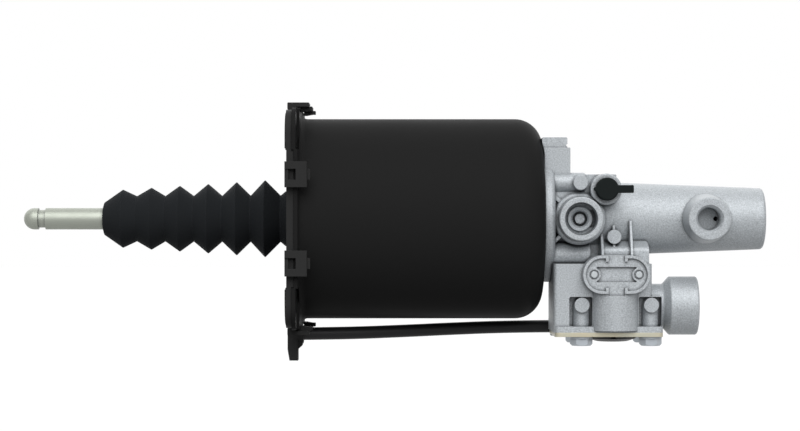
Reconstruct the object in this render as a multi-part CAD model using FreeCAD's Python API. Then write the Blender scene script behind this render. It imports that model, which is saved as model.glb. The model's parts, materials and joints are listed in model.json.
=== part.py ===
import FreeCAD, Part
import math
import os

from FreeCAD import Vector

# Air-assisted clutch servo, in millimetres. The origin lies in the mounting face, on the axis of the
# pushrod. +X points to the hydraulic end, +Z is up and the ports of the valve housing face -Y.

# Fits between pieces
FIT = 0.05
RUNNING = 0.04
STOP_GAP = 0.1

# Rounds and chamfers of edges
EDGE_FINE = 0.3
EDGE_SHARP = 0.5
EDGE_SMALL = 0.6
EDGE = 0.8
EDGE_WIDE = 1.2
EDGE_BROAD = 1.5

# Mounting face and moulded end cover
PAD_RISE = 0.9
PAD_START = 34.5
PAD_CORNER_R = 4.0
PAD_SLANT = 1.6
PAD_STEP = 1.2
PAD_STEP_GAP = 0.3
MOUNT_SPACING = 86.0
MOUNT_HOLE_R = 4.5
COVER_SIDE = 110.0
COVER_CORNER_R = 12.0
COVER_THICKNESS = 3.7
COVER_OPENING_R = 12.4
COVER_SPIGOT_LENGTH = 3.4
COVER_SPIGOT_WALL = 4.0
COVER_RIB_COUNT = 16
COVER_RIB_WIDTH = 1.6
COVER_RIB_DEPTH = 1.6
COVER_RIM = 4.0
BOOT_SEAT_R = 18.2

# Snap clips of the cover, two on each side
CLIP_OFFSET = 22.2
CLIP_WIDTH = 12.9
CLIP_WINDOW = 5.4
CLIP_WINDOW_START = 2.1
CLIP_FRONT = 0.2
CLIP_LENGTH = 11.2
CLIP_ROOT_SINK = 1.0
CLIP_RISE = 0.9
CLIP_ARM = 2.2
CLIP_BAR_DEPTH = 0.8
CLIP_TIP = 1.5
CLIP_TIP_HEIGHT = 1.9
CLIP_CATCH = 1.3
CLIP_CATCH_LENGTH = 1.6
CLIP_GAP = 0.3

# Drawn steel cylinder
POT_BORE_R = 50.0
POT_WALL = 2.0
POT_LENGTH = 126.9
POT_END_R = 14.0
POT_BEND_R = 3.0
POT_FLANGE_SIDE = 112.0
HOLE_GAP = 0.3

# Vent spout below the cover and the breather hose
SPOUT_WIDTH = 10.0
SPOUT_FRONT = -0.8
SPOUT_SHOULDER = 13.0
SPOUT_LENGTH = 18.8
SPOUT_WALL = 1.3
SPOUT_FRONT_WALL = 2.2
SPOUT_GUSSET = 6.0
SPOUT_GUSSET_SLOPE = 2.0
HOSE_R = 3.3
HOSE_BORE_R = 1.9
SOCKET_WALL = 2.1
SOCKET_REACH = 2.9
HOSE_GRIP = 6.0
HOSE_DROP = 1.7
HOSE_STRAIGHT = 14.0
HOSE_POINTS = 5
HOSE_ARC_SHARE = 0.45

# Rubber boot
BOOT_RIDGES = 6
BOOT_PITCH = 14.84
BOOT_VALLEY = 7.3
BOOT_LAST_RIDGE = 12.7
BOOT_LAST_VALLEY = 8.1
BOOT_RIDGE_R = 15.2
BOOT_RIDGE_GROWTH = 1.0
BOOT_VALLEY_R = 11.8
BOOT_VALLEY_GROWTH = 0.06
BOOT_WALL = 1.4
BOOT_NOSE = 10.2
BOOT_NOSE_R = 8.7
BOOT_COLLAR = 4.0
BOOT_RIM_R = 14.6
BOOT_RIM = 1.6
BOOT_BEAD = 1.8
BOOT_BEAD_RISE = 1.6

# Pushrod and its travel
ROD_R = 5.6
ROD_REACH = 138.7
ROD_NECK_R = 4.6
ROD_TIP = 7.7
ROD_NECK = 3.8
BALL_R = 7.5
STROKE = 60.0
CUP_FLOOR = 2.0

# Air piston
PISTON_LENGTH = 20.0
PISTON_GAP = 0.5
PISTON_RIM = 5.4
PISTON_WEB = 5.0
PISTON_FILLET = 2.0
HUB_R = 14.5
HUB_LENGTH = 28.0
BALL_DEPTH = 9.2
SEAL_WIDTH = 6.0
SEAL_DEPTH = 3.6
SEAL_BACK = 0.5
SEAL_LIP = 0.6
SEAL_LIP_LENGTH = 1.5
SEAL_HOLLOW = 2.5
BAND_WIDTH = 5.5
BAND_DEPTH = 1.8
GROOVE_EDGE = 2.0
RETAINER_WIDTH = 1.6
RETAINER_SINK = 0.6
RETAINER_DEPTH = 1.5
RETAINER_SPLIT = 3.0
RETAINER_ROOM = 0.25
PISTON_RIBS = 8
PISTON_RIB_WIDTH = 3.0
PISTON_RIB_HEIGHT = 6.0

# Preload spring
SPRING_R = 36.0
SPRING_WIRE_R = 1.7
SPRING_TURNS = 6.0
COIL_STEPS = 8
END_COIL_RISE = 1.1

# Plunger and the seal pack that it runs through
PLUNGER_R = 9.5
PLUNGER_LENGTH = 138.4
PLUNGER_NOSE = 2.0
PLUNGER_NOSE_SLANT = 1.2
PACK_R = 14.0
PACK_SINK = 0.6
PACK_GROOVE = 1.0
PACK_RING = 1.2
PACK_SEAL = 5.0
PACK_GUIDE = 10.0
PACK_BACK = 0.4
PACK_LIP = 0.8
PACK_LIP_EDGE = 1.0
PACK_LIP_LENGTH = 2.4
PACK_HOLLOW = 2.2
SPIGOT_R = 17.0
SPIGOT_LENGTH = 3.2

# Housing: joint to the cylinder
GASKET = 0.5
SEAT_R = 33.0
SEAT_THICKNESS = 5.0
SEAT_EDGE_R = 2.5
SEAT_SCREW_OFFSET = 18.5
SEAT_BOSS_TOP_R = 5.2
SEAT_BOSS_TOP = 16.0
SEAT_BOSS_LOW_R = 6.0
SEAT_BOSS_LOW = 18.5
M6_R = 3.0
M6_CORE_R = 2.6
SEAT_SCREW_LENGTH = 14.0
SEAT_HEAD_R = 5.0
SEAT_HEAD = 3.6
SEAT_DRIVE_R = 2.9
SEAT_DRIVE = 2.2
AIR_WAY_R = 3.0
AIR_WAY_Z = -27.0
AIR_TURN_SHARE = 0.93
AIR_LINK_SHARE = 0.87

# Housing: barrel and fluid port
BARREL_END_R = 15.9
BARREL_TAPER = 0.039
BARREL_EDGE = 1.8
CHAMBER_R = 11.0
CHAMBER_END_ROOM = 14.8
CHAMBER_END_WALL = 6.8
FLUID_PORT_INSET = 31.3
FLUID_PORT_R = 11.0
FLUID_PORT_BASE_R = 14.0
FLUID_PORT_Y = -32.0
FLUID_BORE_R = 6.25
FLUID_BORE_DEPTH = 13.5
FLUID_WAY_R = 1.2
FLUID_WAY_INSET = 1.4
PORT_CHAMFER = 0.9

# Housing: ear, shoulder and blind bosses
FRONT_Y = -21.0
BACK_Y = 12.0
EAR_Z = 41.9
EAR_WIDTH = 11.7
EAR_FOOT = 1.5
EAR_OVERHANG = 1.3
EAR_BAND = 5.3
EAR_STEP = 0.8
EAR_NOTCH_R = 0.6
SHOULDER_Z = 22.8
SHOULDER_LENGTH = 36.8
SHOULDER_FULL = 23.0
RING_SET = 17.6
RING_Y = -38.0
RING_R = 11.2
RING_BASE_R = 13.4
RING_BASE_Y = -26.0
RING_RECESS_R = 8.4
RING_RECESS = 13.0
NIPPLE_R = 6.2
NIPPLE_BORE_R = 3.8
NIPPLE_Y = -27.7
NIPPLE_BORE = 8.0
NIPPLE_SINK = 0.9
NIPPLE_CORE_R = 2.5
NIPPLE_CORE_SINK = 1.6
CRESCENT_R = 6.7
CRESCENT_HALF = 4.4
CRESCENT_DEPTH = 5.0
GUSSET_THICKNESS = 1.8
GUSSET_REACH = 19.5
GUSSET_ANGLE = 42.0
GUSSET_Y = -24.5
STUB_R = 3.9
STUB_SET = 17.9
STUB_Z = 18.5
STUB_Y = -30.0

# Bleed screw and its cap
BLEED_SET = 30.8
BLEED_Z = 15.1
BLEED_BOSS_R = 8.0
BLEED_BOSS_Y = -31.0
BLEED_THREAD_R = 4.0
BLEED_THREAD = 12.0
BLEED_FLATS = 8.0
BLEED_HEX = 2.4
BLEED_NIPPLE_R = 2.9
BLEED_NIPPLE = 3.4
BLEED_WAY_R = 1.1
BLEED_HOLE_R = 0.9
BLEED_CONE = 2.8
BLEED_CONE_R = 1.2
CAP_R = 5.8
CAP_LENGTH = 6.9
CAP_TOP = 1.2
TAB_REACH = 13.3
TAB_HEIGHT = 4.0
TAB_THICKNESS = 1.6
NIB_R = 1.2

# Valve body below the barrel
VALVE_SET = 35.5
VALVE_Y = -8.0
BODY_SET = 4.0
BODY_LENGTH = 50.2
BODY_FRONT = -30.0
BODY_BACK = 14.0
BODY_TOP = -23.0
BODY_CORNER_R = 2.0
BODY_FLOOR = -58.0
FOOT_SET = 4.6
FOOT_LENGTH = 55.2
FOOT_MARGIN = 1.0
FOOT_THICKNESS = 3.0
FOOT_CORNER_R = 2.2
LOWER_START = 22.0
LOWER_TOP = -39.5
LOWER_INSET = 0.5
COLUMN_R = 12.3
COLUMN_Y = -25.6
BRIDGE_HALF = 14.0
BRIDGE_CORNER_R = 1.8
WEB_REACH = 3.0
WEB_HALF = 5.0
WEB_RISE = 0.9
SADDLE_START = 28.5
SADDLE_INSET = 1.0
SADDLE_Y = -25.0
SADDLE_ROOT_Y = -10.0
SADDLE_ROOT_Z = -9.5
SADDLE_EDGE_Z = -15.0
SADDLE_EDGE_R = 2.6
SADDLE_END_R = 4.0
POCKET_WIDTH = 11.8
POCKET_DEPTH = 8.0
POCKET_SHIFT = 0.6
POCKET_HEIGHT = 15.2
BOLT_SHIFT = 0.7
BOLT_SPACING_X = 35.4
BOLT_SPACING_Y = 32.0
BOLT_COLUMN_R = 4.2
BOLT_PAD_R = 3.8
BOLT_PAD_Z = -44.0

# Oval pad, its rim and the ribs above it
OVAL_Z = -28.3
OVAL_LENGTH = 34.1
OVAL_HEIGHT = 19.4
OVAL_Y = -38.0
OVAL_DEPTH = 14.0
OVAL_RIM = 1.4
OVAL_RIM_STEP = 1.7
OVAL_GAP = 8.2
OVAL_HOOK = 3.1
RECESS_LENGTH = 20.2
RECESS_HEIGHT = 7.8
RECESS_DEPTH = 1.7
PIN_SPACING = 22.7
PIN_R = 1.7
PIN_BOSS_R = 3.4
PIN_COLLAR_R = 2.5
PIN_LENGTH = 6.0
PIN_RISE = 0.7
PIN_SHORT = 0.5
RIB_LEFT = 6.3
RIB_RIGHT = 8.6
RIB_THICKNESS = 1.2
RIB_TOPS = (-6.0, -3.4, -1.0)
RIB_STAND = 0.5
RIB_ROOT_Y = -5.0
RIB_FOOT_Y = -30.0
RIB_PAD_R = 3.6
RIB_PAD_Z = -9.2
RIB_PAD_Y = -24.5

# Air port
AIR_PORT_Z = -45.0
AIR_NECK_R = 11.3
AIR_NECK = 1.8
AIR_CONE = 3.4
AIR_PORT_R = 15.1
AIR_PORT_LENGTH = 14.5
AIR_BORE_R = 10.2
AIR_BORE_DEPTH = 15.0
AIR_FEED_R = 3.6
AIR_FEED_Z = -50.5

# Breather hose connection behind the valve body
HOSE_END_SET = 14.0
HOSE_END_Y = 20.6
HOSE_END_Z = -57.1
HOSE_BOSS_SET = 5.4
HOSE_BOSS_WALL = 1.8
HOSE_BOSS_END = 4.0

# Bottom plate, bolts and vent cap
PLATE_THICKNESS = 2.2
PLATE_HOLE_R = 8.0
BOLT_FLATS = 10.0
BOLT_HEAD = 3.6
BOLT_LENGTH = 16.0
HEAD_CHAMFER = 0.2
HEAD_SLOPE = 1.8
WASHER_R = 5.9
WASHER_THICKNESS = 1.1
VENT_R = 13.0
VENT_FLAT_R = 8.0
VENT_HEIGHT = 3.2
VENT_ROUND_R = 6.0
VENT_SIDE = 1.5
VENT_EDGE = 0.6
VENT_SNAP = 1.2
VENT_SLOT_START = 6.5
VENT_SHORT = 0.4
VENT_WAY_ROOM = 0.6
VENT_SLOTS = 6
VENT_SLOT_WIDTH = 3.0
VENT_SLOT_DEPTH = 0.9

# Relay valve inside the valve body
LOWER_BORE_R = 12.0
SEPTUM_TOP = -43.0
SEPTUM = 2.5
SEAT_HOLE_R = 6.0
UPPER_BORE_R = 10.0
UPPER_BORE_TOP = -28.5
CONTROL_BORE_R = 4.5
CONTROL_BORE_TOP = -15.0
CONTROL_WAY_R = 1.5
CONTROL_DISC = 5.0
CONTROL_DISC_Z = -36.0
CONTROL_STEM_TOP = -17.5
CONTROL_TUBE_R = 3.4
CONTROL_TUBE_BORE_R = 1.7
CONTROL_VENT_R = 1.0
CONTROL_VENT_RISE = 1.2
CONTROL_TUBE_DEPTH = 2.0
CONTROL_RING_SET = 3.5
EXHAUST_GAP = 0.3
INLET_DISC_R = 8.0
INLET_DISC = 2.0
INLET_TUBE_R = 4.4
INLET_TUBE_BORE_R = 2.6
INLET_TUBE_END = 2.2
CARRIER_HEIGHT = 6.0
CARRIER_NECK = 2.4
CARRIER_STEP = 3.0
CARRIER_LIP = 1.2
CARRIER_LIP_R = 1.0
RING_SEAL_R = 0.9
RING_GROOVE_HALF = 1.1
RING_GROOVE_DEPTH = 1.85
CONTROL_SPRING_R = 7.6
CONTROL_WIRE_R = 0.45
INLET_SPRING_R = 6.2
INLET_WIRE_R = 0.4
VALVE_SPRING_TURNS = 4.0

# Places that follow from the sizes above
COVER_BACK = PAD_RISE + COVER_THICKNESS
POT_R = POT_BORE_R + POT_WALL
POT_END = COVER_BACK + POT_LENGTH
POT_FLOOR = POT_END - POT_WALL
SEAT_X = POT_END + GASKET
PISTON_FRONT = COVER_BACK + COVER_SPIGOT_LENGTH + STOP_GAP
WEB_BACK = PISTON_FRONT + PISTON_WEB
BALL_X = PISTON_FRONT + BALL_DEPTH
PLUNGER_START = BALL_X + BALL_R + CUP_FLOOR
PLUNGER_END = PLUNGER_START + PLUNGER_LENGTH
SPIGOT_FRONT = SEAT_X - SPIGOT_LENGTH
PACK_START = SPIGOT_FRONT + PACK_SINK
PACK_END = PACK_START + 2 * PACK_RING + PACK_SEAL + PACK_GUIDE
CHAMBER_END = PLUNGER_END + STROKE + CHAMBER_END_ROOM
BARREL_END = CHAMBER_END + CHAMBER_END_WALL
BARREL_START_R = BARREL_END_R + BARREL_TAPER * (BARREL_END - SEAT_X)
FLUID_PORT_X = BARREL_END - FLUID_PORT_INSET
RING_X = SEAT_X + RING_SET
STUB_X = SEAT_X + STUB_SET
BLEED_X = SEAT_X + BLEED_SET
BLEED_TIP = BLEED_BOSS_Y + BLEED_THREAD
VALVE_X = SEAT_X + VALVE_SET
BODY_X = SEAT_X + BODY_SET
BODY_END = BODY_X + BODY_LENGTH
FOOT_X = SEAT_X + FOOT_SET
FOOT_END = FOOT_X + FOOT_LENGTH
AIR_PORT_END = FOOT_END + AIR_NECK + AIR_CONE + AIR_PORT_LENGTH
HOSE_END_X = SEAT_X + HOSE_END_SET
HOSE_BOSS_X = SEAT_X + HOSE_BOSS_SET
FLANGE_HALF = POT_FLANGE_SIDE / 2
CLIP_INNER = FLANGE_HALF + CLIP_GAP
CLIP_UNDER = CLIP_INNER + CLIP_RISE
CLIP_REACH = CLIP_UNDER + CLIP_ARM
CLIP_END = CLIP_FRONT + CLIP_LENGTH
SPOUT_TOP = -COVER_SIDE / 2 + 1.0
SPOUT_END = -COVER_SIDE / 2 - SPOUT_LENGTH
HOSE_START_Z = -COVER_SIDE / 2 - HOSE_R - HOSE_DROP
HOSE_START_X = COVER_BACK + SOCKET_REACH - HOSE_GRIP
PLATE_BOTTOM = BODY_FLOOR - PLATE_THICKNESS
SEPTUM_BOTTOM = SEPTUM_TOP - SEPTUM
SCREW_PLACES = [(y * SEAT_SCREW_OFFSET, z * SEAT_SCREW_OFFSET) for y in (-1, 1) for z in (-1, 1)]
MOUNT_PLACES = [(y * MOUNT_SPACING / 2, z * MOUNT_SPACING / 2) for y in (-1, 1) for z in (-1, 1)]
BOLT_COLUMNS = [VALVE_X + BOLT_SHIFT + x * BOLT_SPACING_X / 2 for x in (-1, 1)]
BOLT_PLACES = [(x, VALVE_Y + y * BOLT_SPACING_Y / 2) for x in BOLT_COLUMNS for y in (-1, 1)]

X_AXIS = Vector(1, 0, 0)
Y_AXIS = Vector(0, 1, 0)
Z_AXIS = Vector(0, 0, 1)


# Shared shapes

def rod_x(radius, x0, x1, y=0.0, z=0.0):
    return Part.makeCylinder(radius, x1 - x0, Vector(x0, y, z), X_AXIS)


def rod_y(radius, y0, y1, x, z):
    return Part.makeCylinder(radius, y1 - y0, Vector(x, y0, z), Y_AXIS)


def rod_z(radius, z0, z1, x, y):
    return Part.makeCylinder(radius, z1 - z0, Vector(x, y, z0), Z_AXIS)


def block(x0, x1, y0, y1, z0, z1):
    return Part.makeBox(x1 - x0, y1 - y0, z1 - z0, Vector(x0, y0, z0))


def corner(before, at, after, radius):
    """Tangent points and middle point of a round of this radius at a corner."""
    back = (before - at).normalize()
    ahead = (after - at).normalize()
    half = back.getAngle(ahead) / 2
    reach = radius / math.tan(half)
    middle = (back + ahead).normalize() * (radius / math.sin(half) - radius)
    return at + back * reach, at + middle, at + ahead * reach


def outline(points, place):
    """Closed wire through (u, v) or (u, v, radius) points, which place(u, v) puts in space."""
    spots = [place(p[0], p[1]) for p in points]
    radii = [p[2] if len(p) > 2 else 0.0 for p in points]
    count = len(points)
    edges = []
    starts = []
    for i in range(count):
        if radii[i] > 0:
            a, m, b = corner(spots[i - 1], spots[i], spots[(i + 1) % count], radii[i])
            starts.append((a, b))
            edges.append((i, Part.Arc(a, m, b).toShape()))
        else:
            starts.append((spots[i], spots[i]))
    for i in range(count):
        leave = starts[i][1]
        arrive = starts[(i + 1) % count][0]
        if (leave - arrive).Length > 1e-6:
            edges.append((i + 0.5, Part.LineSegment(leave, arrive).toShape()))
    edges.sort(key=lambda item: item[0])
    return Part.Wire([edge for _, edge in edges])


def on_xz(y):
    return lambda u, v: Vector(u, y, v)


def on_yz(x):
    return lambda u, v: Vector(x, u, v)


def on_xy(z):
    return lambda u, v: Vector(u, v, z)


def prism(points, place, way):
    """The closed outline pushed along a vector."""
    return Part.Face(outline(points, place)).extrude(way)


def turned(points):
    """A solid of revolution about the pushrod axis, from (x, r) or (x, r, radius) points."""
    return Part.Face(outline(points, on_xz(0.0))).revolve(Vector(0, 0, 0), X_AXIS, 360)


def turned_z(points, x, y):
    """A solid of revolution about an upright axis, from (r, z) points."""
    solid = Part.Face(outline(points, on_xz(0.0))).revolve(Vector(0, 0, 0), Z_AXIS, 360)
    solid.translate(Vector(x, y, 0))
    return solid


def ring_x(outer, inner, x0, x1):
    return turned([(x0, inner), (x0, outer), (x1, outer), (x1, inner)])


def rectangle(u0, u1, v0, v1, radius=0.0):
    return [(u0, v0, radius), (u1, v0, radius), (u1, v1, radius), (u0, v1, radius)]


def square(side, radius):
    return rectangle(-side / 2, side / 2, -side / 2, side / 2, radius)


def slot_outline(length, height, u, v):
    """A racetrack outline with round ends, centred at (u, v)."""
    near = height / 2 - 1e-4
    return rectangle(u - length / 2, u + length / 2, v - height / 2, v + height / 2, near)


def hexagon(flats, z0, z1, x, y):
    reach = flats / math.sqrt(3)
    angles = [math.radians(60 * i + 30) for i in range(6)]
    points = [(x + reach * math.cos(a), y + reach * math.sin(a)) for a in angles]
    return prism(points, on_xy(z0), Vector(0, 0, z1 - z0))


def joined(shapes):
    return shapes[0].multiFuse(shapes[1:]).removeSplitter()


def smooth_path(points, share):
    """Straight runs joined by tangent arcs, which take this share of the shorter run at each point."""
    edges = []
    radii = []
    leave = points[0]
    for before, at, after in zip(points, points[1:], points[2:]):
        turn = math.pi - (before - at).getAngle(after - at)
        shorter = min((at - before).Length, (after - at).Length)
        radii.append(share * shorter / math.tan(turn / 2))
        a, m, b = corner(before, at, after, radii[-1])
        if (a - leave).Length > 1e-6:
            edges.append(Part.LineSegment(leave, a).toShape())
        edges.append(Part.Arc(a, m, b).toShape())
        leave = b
    edges.append(Part.LineSegment(leave, points[-1]).toShape())
    return Part.Wire(edges), radii


def swept(path, start, way, radius):
    section = Part.Wire([Part.Circle(start, way, radius).toShape()])
    return path.makePipeShell([section], True, False)


def coil(mean_r, wire_r, z0, z1, turns):
    """A coil spring along Z between two seats, with one closed coil at each end."""
    low = z0 + wire_r
    high = z1 - wire_r
    closed = 2 * wire_r * END_COIL_RISE
    reach = mean_r / math.cos(math.pi / COIL_STEPS)
    points = []
    for i in range(round(turns * COIL_STEPS) + 1):
        t = i / COIL_STEPS
        angle = 2 * math.pi * t
        if t < 1:
            z = low + closed * t
        elif t > turns - 1:
            z = high - closed * (turns - t)
        else:
            z = low + closed + (high - low - 2 * closed) * (t - 1) / (turns - 2)
        points.append(Vector(reach * math.cos(angle), reach * math.sin(angle), z))
    path, _ = smooth_path(points, 0.5)
    return swept(path, points[0], points[1] - points[0], wire_r)


# End cover, boot and cylinder

def corner_holes(x0, x1):
    return [rod_x(MOUNT_HOLE_R, x0, x1, y, z) for y, z in MOUNT_PLACES]


def corner_outline(y_side, z_side, inner, outer):
    """Outline of a field in one corner of the cover, as round as the cover at its outer corner."""
    return [
        (y_side * inner, z_side * inner, PAD_CORNER_R), (y_side * outer, z_side * inner),
        (y_side * outer, z_side * outer, COVER_CORNER_R), (y_side * inner, z_side * outer)]


def corner_fields(inner, outer, x0, x1):
    way = Vector(x1 - x0, 0, 0)
    return [prism(corner_outline(y, z, inner, outer), on_yz(x0), way) for y in (-1, 1) for z in (-1, 1)]


def mounting_pads():
    """The four raised corners of the cover, a little smaller at the mounting face."""
    half = COVER_SIDE / 2
    face = corner_fields(PAD_START + PAD_RISE, half - PAD_SLANT, 0.0, COVER_BACK)
    return face + corner_fields(PAD_START, half, PAD_RISE / 2, COVER_BACK)


def corner_steps(inner, outer, back):
    """Corner slices where the flange of the cylinder steps towards the mounting face."""
    clear = rod_x(POT_R + PAD_STEP_GAP, 0.0, POT_END)
    return [field.cut(clear) for field in corner_fields(inner, outer, back - PAD_STEP, back)]


def clip():
    """One snap clip on the upper side, with its barb behind the flange of the cylinder."""
    root = COVER_SIDE / 2 - CLIP_ROOT_SINK
    arm = prism(
        [(PAD_RISE, root), (CLIP_FRONT, CLIP_INNER), (CLIP_FRONT, CLIP_REACH, EDGE_SHARP),
         (CLIP_END, CLIP_REACH, EDGE_SHARP), (CLIP_END, CLIP_UNDER), (COVER_BACK, CLIP_UNDER),
         (COVER_BACK, root)],
        on_xz(-CLIP_WIDTH / 2), Vector(0, CLIP_WIDTH, 0))
    catch = COVER_BACK + POT_WALL + STOP_GAP
    half = CLIP_WINDOW / 2
    window = block(CLIP_WINDOW_START, catch - CLIP_RISE, -half, half, CLIP_INNER, CLIP_REACH + 1)
    bar_low = CLIP_REACH - CLIP_BAR_DEPTH
    bar = block(CLIP_FRONT - 1, CLIP_WINDOW_START + 1, -half, half, bar_low, CLIP_REACH + 1)
    tip = CLIP_END + CLIP_TIP
    tip_low = CLIP_UNDER - CLIP_TIP_HEIGHT
    low = FLANGE_HALF - CLIP_CATCH
    barb = prism(
        [(catch, CLIP_UNDER + CLIP_ARM / 2), (catch, low, EDGE_FINE),
         (catch + CLIP_CATCH_LENGTH, low, EDGE_FINE), (CLIP_END, tip_low, EDGE_SHARP),
         (tip, tip_low, EDGE_FINE), (tip, CLIP_UNDER, EDGE_FINE),
         (CLIP_END, CLIP_UNDER), (CLIP_END, CLIP_UNDER + CLIP_ARM / 2)],
        on_xz(-half), Vector(0, CLIP_WINDOW, 0))
    return arm.cut([window, bar]).fuse(barb)


def clips():
    found = []
    for side in range(4):
        for offset in (-CLIP_OFFSET, CLIP_OFFSET):
            piece = clip()
            piece.translate(Vector(0, offset, 0))
            piece.rotate(Vector(0, 0, 0), X_AXIS, 90 * side)
            found.append(piece)
    return found


def spout():
    """The vent spout, which takes the hose from the side and opens downwards."""
    shoulder = -COVER_SIDE / 2 - SPOUT_SHOULDER
    half = SPOUT_WIDTH / 2
    shell = prism(
        [(SPOUT_FRONT, SPOUT_TOP), (SPOUT_FRONT, shoulder, 1.0), (SPOUT_FRONT + 1.0, SPOUT_END),
         (COVER_BACK, SPOUT_END), (COVER_BACK, SPOUT_TOP)],
        on_xz(-half), Vector(0, SPOUT_WIDTH, 0))
    reach = COVER_BACK + SOCKET_REACH
    socket = rod_x(HOSE_R + SOCKET_WALL, SPOUT_FRONT + SPOUT_WALL, reach, 0.0, HOSE_START_Z)
    socket = socket.makeFillet(SOCKET_WALL / 2, [socket.Edges[0]])
    low = HOSE_START_Z - SPOUT_GUSSET
    gusset = prism(
        [(SPOUT_FRONT + SPOUT_WALL, HOSE_START_Z), (reach, HOSE_START_Z),
         (reach - SPOUT_WALL / 2, low, EDGE_SMALL),
         (COVER_BACK, low - SPOUT_GUSSET_SLOPE), (SPOUT_FRONT + SPOUT_WALL, low - SPOUT_GUSSET_SLOPE)],
        on_xz(SPOUT_WALL - half), Vector(0, SPOUT_WIDTH - 2 * SPOUT_WALL, 0))
    flange_room = block(COVER_BACK, reach + 1, -half, half, -CLIP_INNER, 0.0)
    return shell.multiFuse([socket, gusset]).cut(flange_room)


def spout_ways():
    reach = SPOUT_WIDTH / 2 - SPOUT_WALL
    front = SPOUT_FRONT + SPOUT_FRONT_WALL
    inside = block(front, COVER_BACK - SPOUT_WALL, -reach, reach, SPOUT_END - 1, HOSE_START_Z)
    seat = rod_x(HOSE_R + FIT, HOSE_START_X, COVER_BACK + SOCKET_REACH + 1, 0.0, HOSE_START_Z)
    return [inside, seat]


def cover_ribs():
    """Spokes left between the sunk fields on the outside of the cover."""
    spokes = []
    for i in range(COVER_RIB_COUNT):
        spoke = block(0.0, COVER_BACK, -COVER_RIB_WIDTH / 2, COVER_RIB_WIDTH / 2, 0.0, COVER_SIDE)
        spoke.rotate(Vector(0, 0, 0), X_AXIS, 360 * (i + 0.5) / COVER_RIB_COUNT)
        spokes.append(spoke)
    return spokes


def cover_fields():
    """The sunk fields between the boot seat, the spokes and the rim."""
    floor = PAD_RISE + COVER_RIB_DEPTH
    inside = square(COVER_SIDE - 2 * COVER_RIM, COVER_CORNER_R - COVER_RIM)
    outer = prism(inside, on_yz(-1.0), Vector(floor + 1, 0, 0))
    keep = [rod_x(BOOT_SEAT_R, -2.0, floor + 1)]
    keep += corner_fields(PAD_START - COVER_RIB_WIDTH, COVER_SIDE / 2, -2.0, floor + 1)
    keep += cover_ribs()
    return outer.cut(keep)


def end_cover():
    plate = prism(square(COVER_SIDE, COVER_CORNER_R), on_yz(PAD_RISE), Vector(COVER_THICKNESS, 0, 0))
    spigot_r = POT_BORE_R - FIT
    spigot_end = COVER_BACK + COVER_SPIGOT_LENGTH
    spigot = ring_x(spigot_r, spigot_r - COVER_SPIGOT_WALL, COVER_BACK - STOP_GAP, spigot_end)
    body = plate.cut(cover_fields()).multiFuse(mounting_pads())
    body = body.cut(corner_steps(PAD_START - PAD_STEP_GAP, COVER_SIDE, COVER_BACK))
    body = body.multiFuse(clips() + [spout(), spigot])
    holes = corner_holes(-1.0, COVER_BACK + 1.0)
    holes.append(rod_x(COVER_OPENING_R, -1.0, COVER_BACK + 1.0))
    return body.cut(holes + spout_ways()).removeSplitter()


def boot_profile(wall):
    """Outer (wall 0) or inner line of the bellows, from the nose to the last valley, as (x, r)."""
    points = []
    first = -BOOT_LAST_RIDGE - BOOT_PITCH * (BOOT_RIDGES - 1)
    for i in range(BOOT_RIDGES):
        x = first + BOOT_PITCH * i
        valley = BOOT_VALLEY if i < BOOT_RIDGES - 1 else BOOT_LAST_VALLEY
        points.append((x, BOOT_RIDGE_R + BOOT_RIDGE_GROWTH * i - wall))
        points.append((x + valley, BOOT_VALLEY_R + BOOT_VALLEY_GROWTH * i - wall))
    return points


def boot_front():
    return -BOOT_LAST_RIDGE - BOOT_PITCH * (BOOT_RIDGES - 1) - BOOT_NOSE


def boot():
    front = boot_front()
    outer = boot_profile(0.0)
    inner = boot_profile(BOOT_WALL)
    neck_r = COVER_OPENING_R
    grip = ROD_R + FIT
    line = [(front, grip), (front, BOOT_NOSE_R, EDGE)]
    line += outer
    line += [(PAD_RISE - BOOT_RIM, BOOT_RIM_R), (PAD_RISE, BOOT_RIM_R)]
    line += [(PAD_RISE, neck_r), (COVER_BACK, neck_r)]
    line += [(COVER_BACK, neck_r + BOOT_BEAD_RISE), (COVER_BACK + BOOT_BEAD, neck_r)]
    line += [(COVER_BACK + BOOT_BEAD, neck_r - BOOT_WALL)]
    line += list(reversed(inner))
    line += [(front + BOOT_COLLAR, grip)]
    return turned(line)


def cylinder_pot():
    hem = POT_FLANGE_SIDE
    line = [
        (COVER_BACK, POT_BORE_R),
        (COVER_BACK, hem),
        (COVER_BACK + POT_WALL, hem),
        (COVER_BACK + POT_WALL, POT_R, POT_BEND_R),
        (POT_END, POT_R, POT_END_R),
        (POT_END, SPIGOT_R + FIT),
        (POT_FLOOR, SPIGOT_R + FIT),
        (POT_FLOOR, POT_BORE_R, POT_END_R - POT_WALL),
    ]
    square_bar = prism(square(POT_FLANGE_SIDE, COVER_CORNER_R), on_yz(0.0), Vector(POT_END + 1, 0, 0))
    body = turned(line).common(square_bar)
    body = body.multiFuse(corner_steps(PAD_START, FLANGE_HALF, COVER_BACK))
    body = body.cut(corner_steps(PAD_START + PAD_STEP_GAP, POT_FLANGE_SIDE, COVER_BACK + POT_WALL))
    holes = corner_holes(0.0, COVER_BACK + POT_WALL + 1)
    holes += [rod_x(M6_R + HOLE_GAP, POT_FLOOR - 1, POT_END + 1, y, z) for y, z in SCREW_PLACES]
    holes.append(rod_x(AIR_WAY_R, POT_FLOOR - 1, POT_END + 1, VALVE_Y, AIR_WAY_Z))
    return body.cut(holes)


# Pushrod and piston

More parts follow.
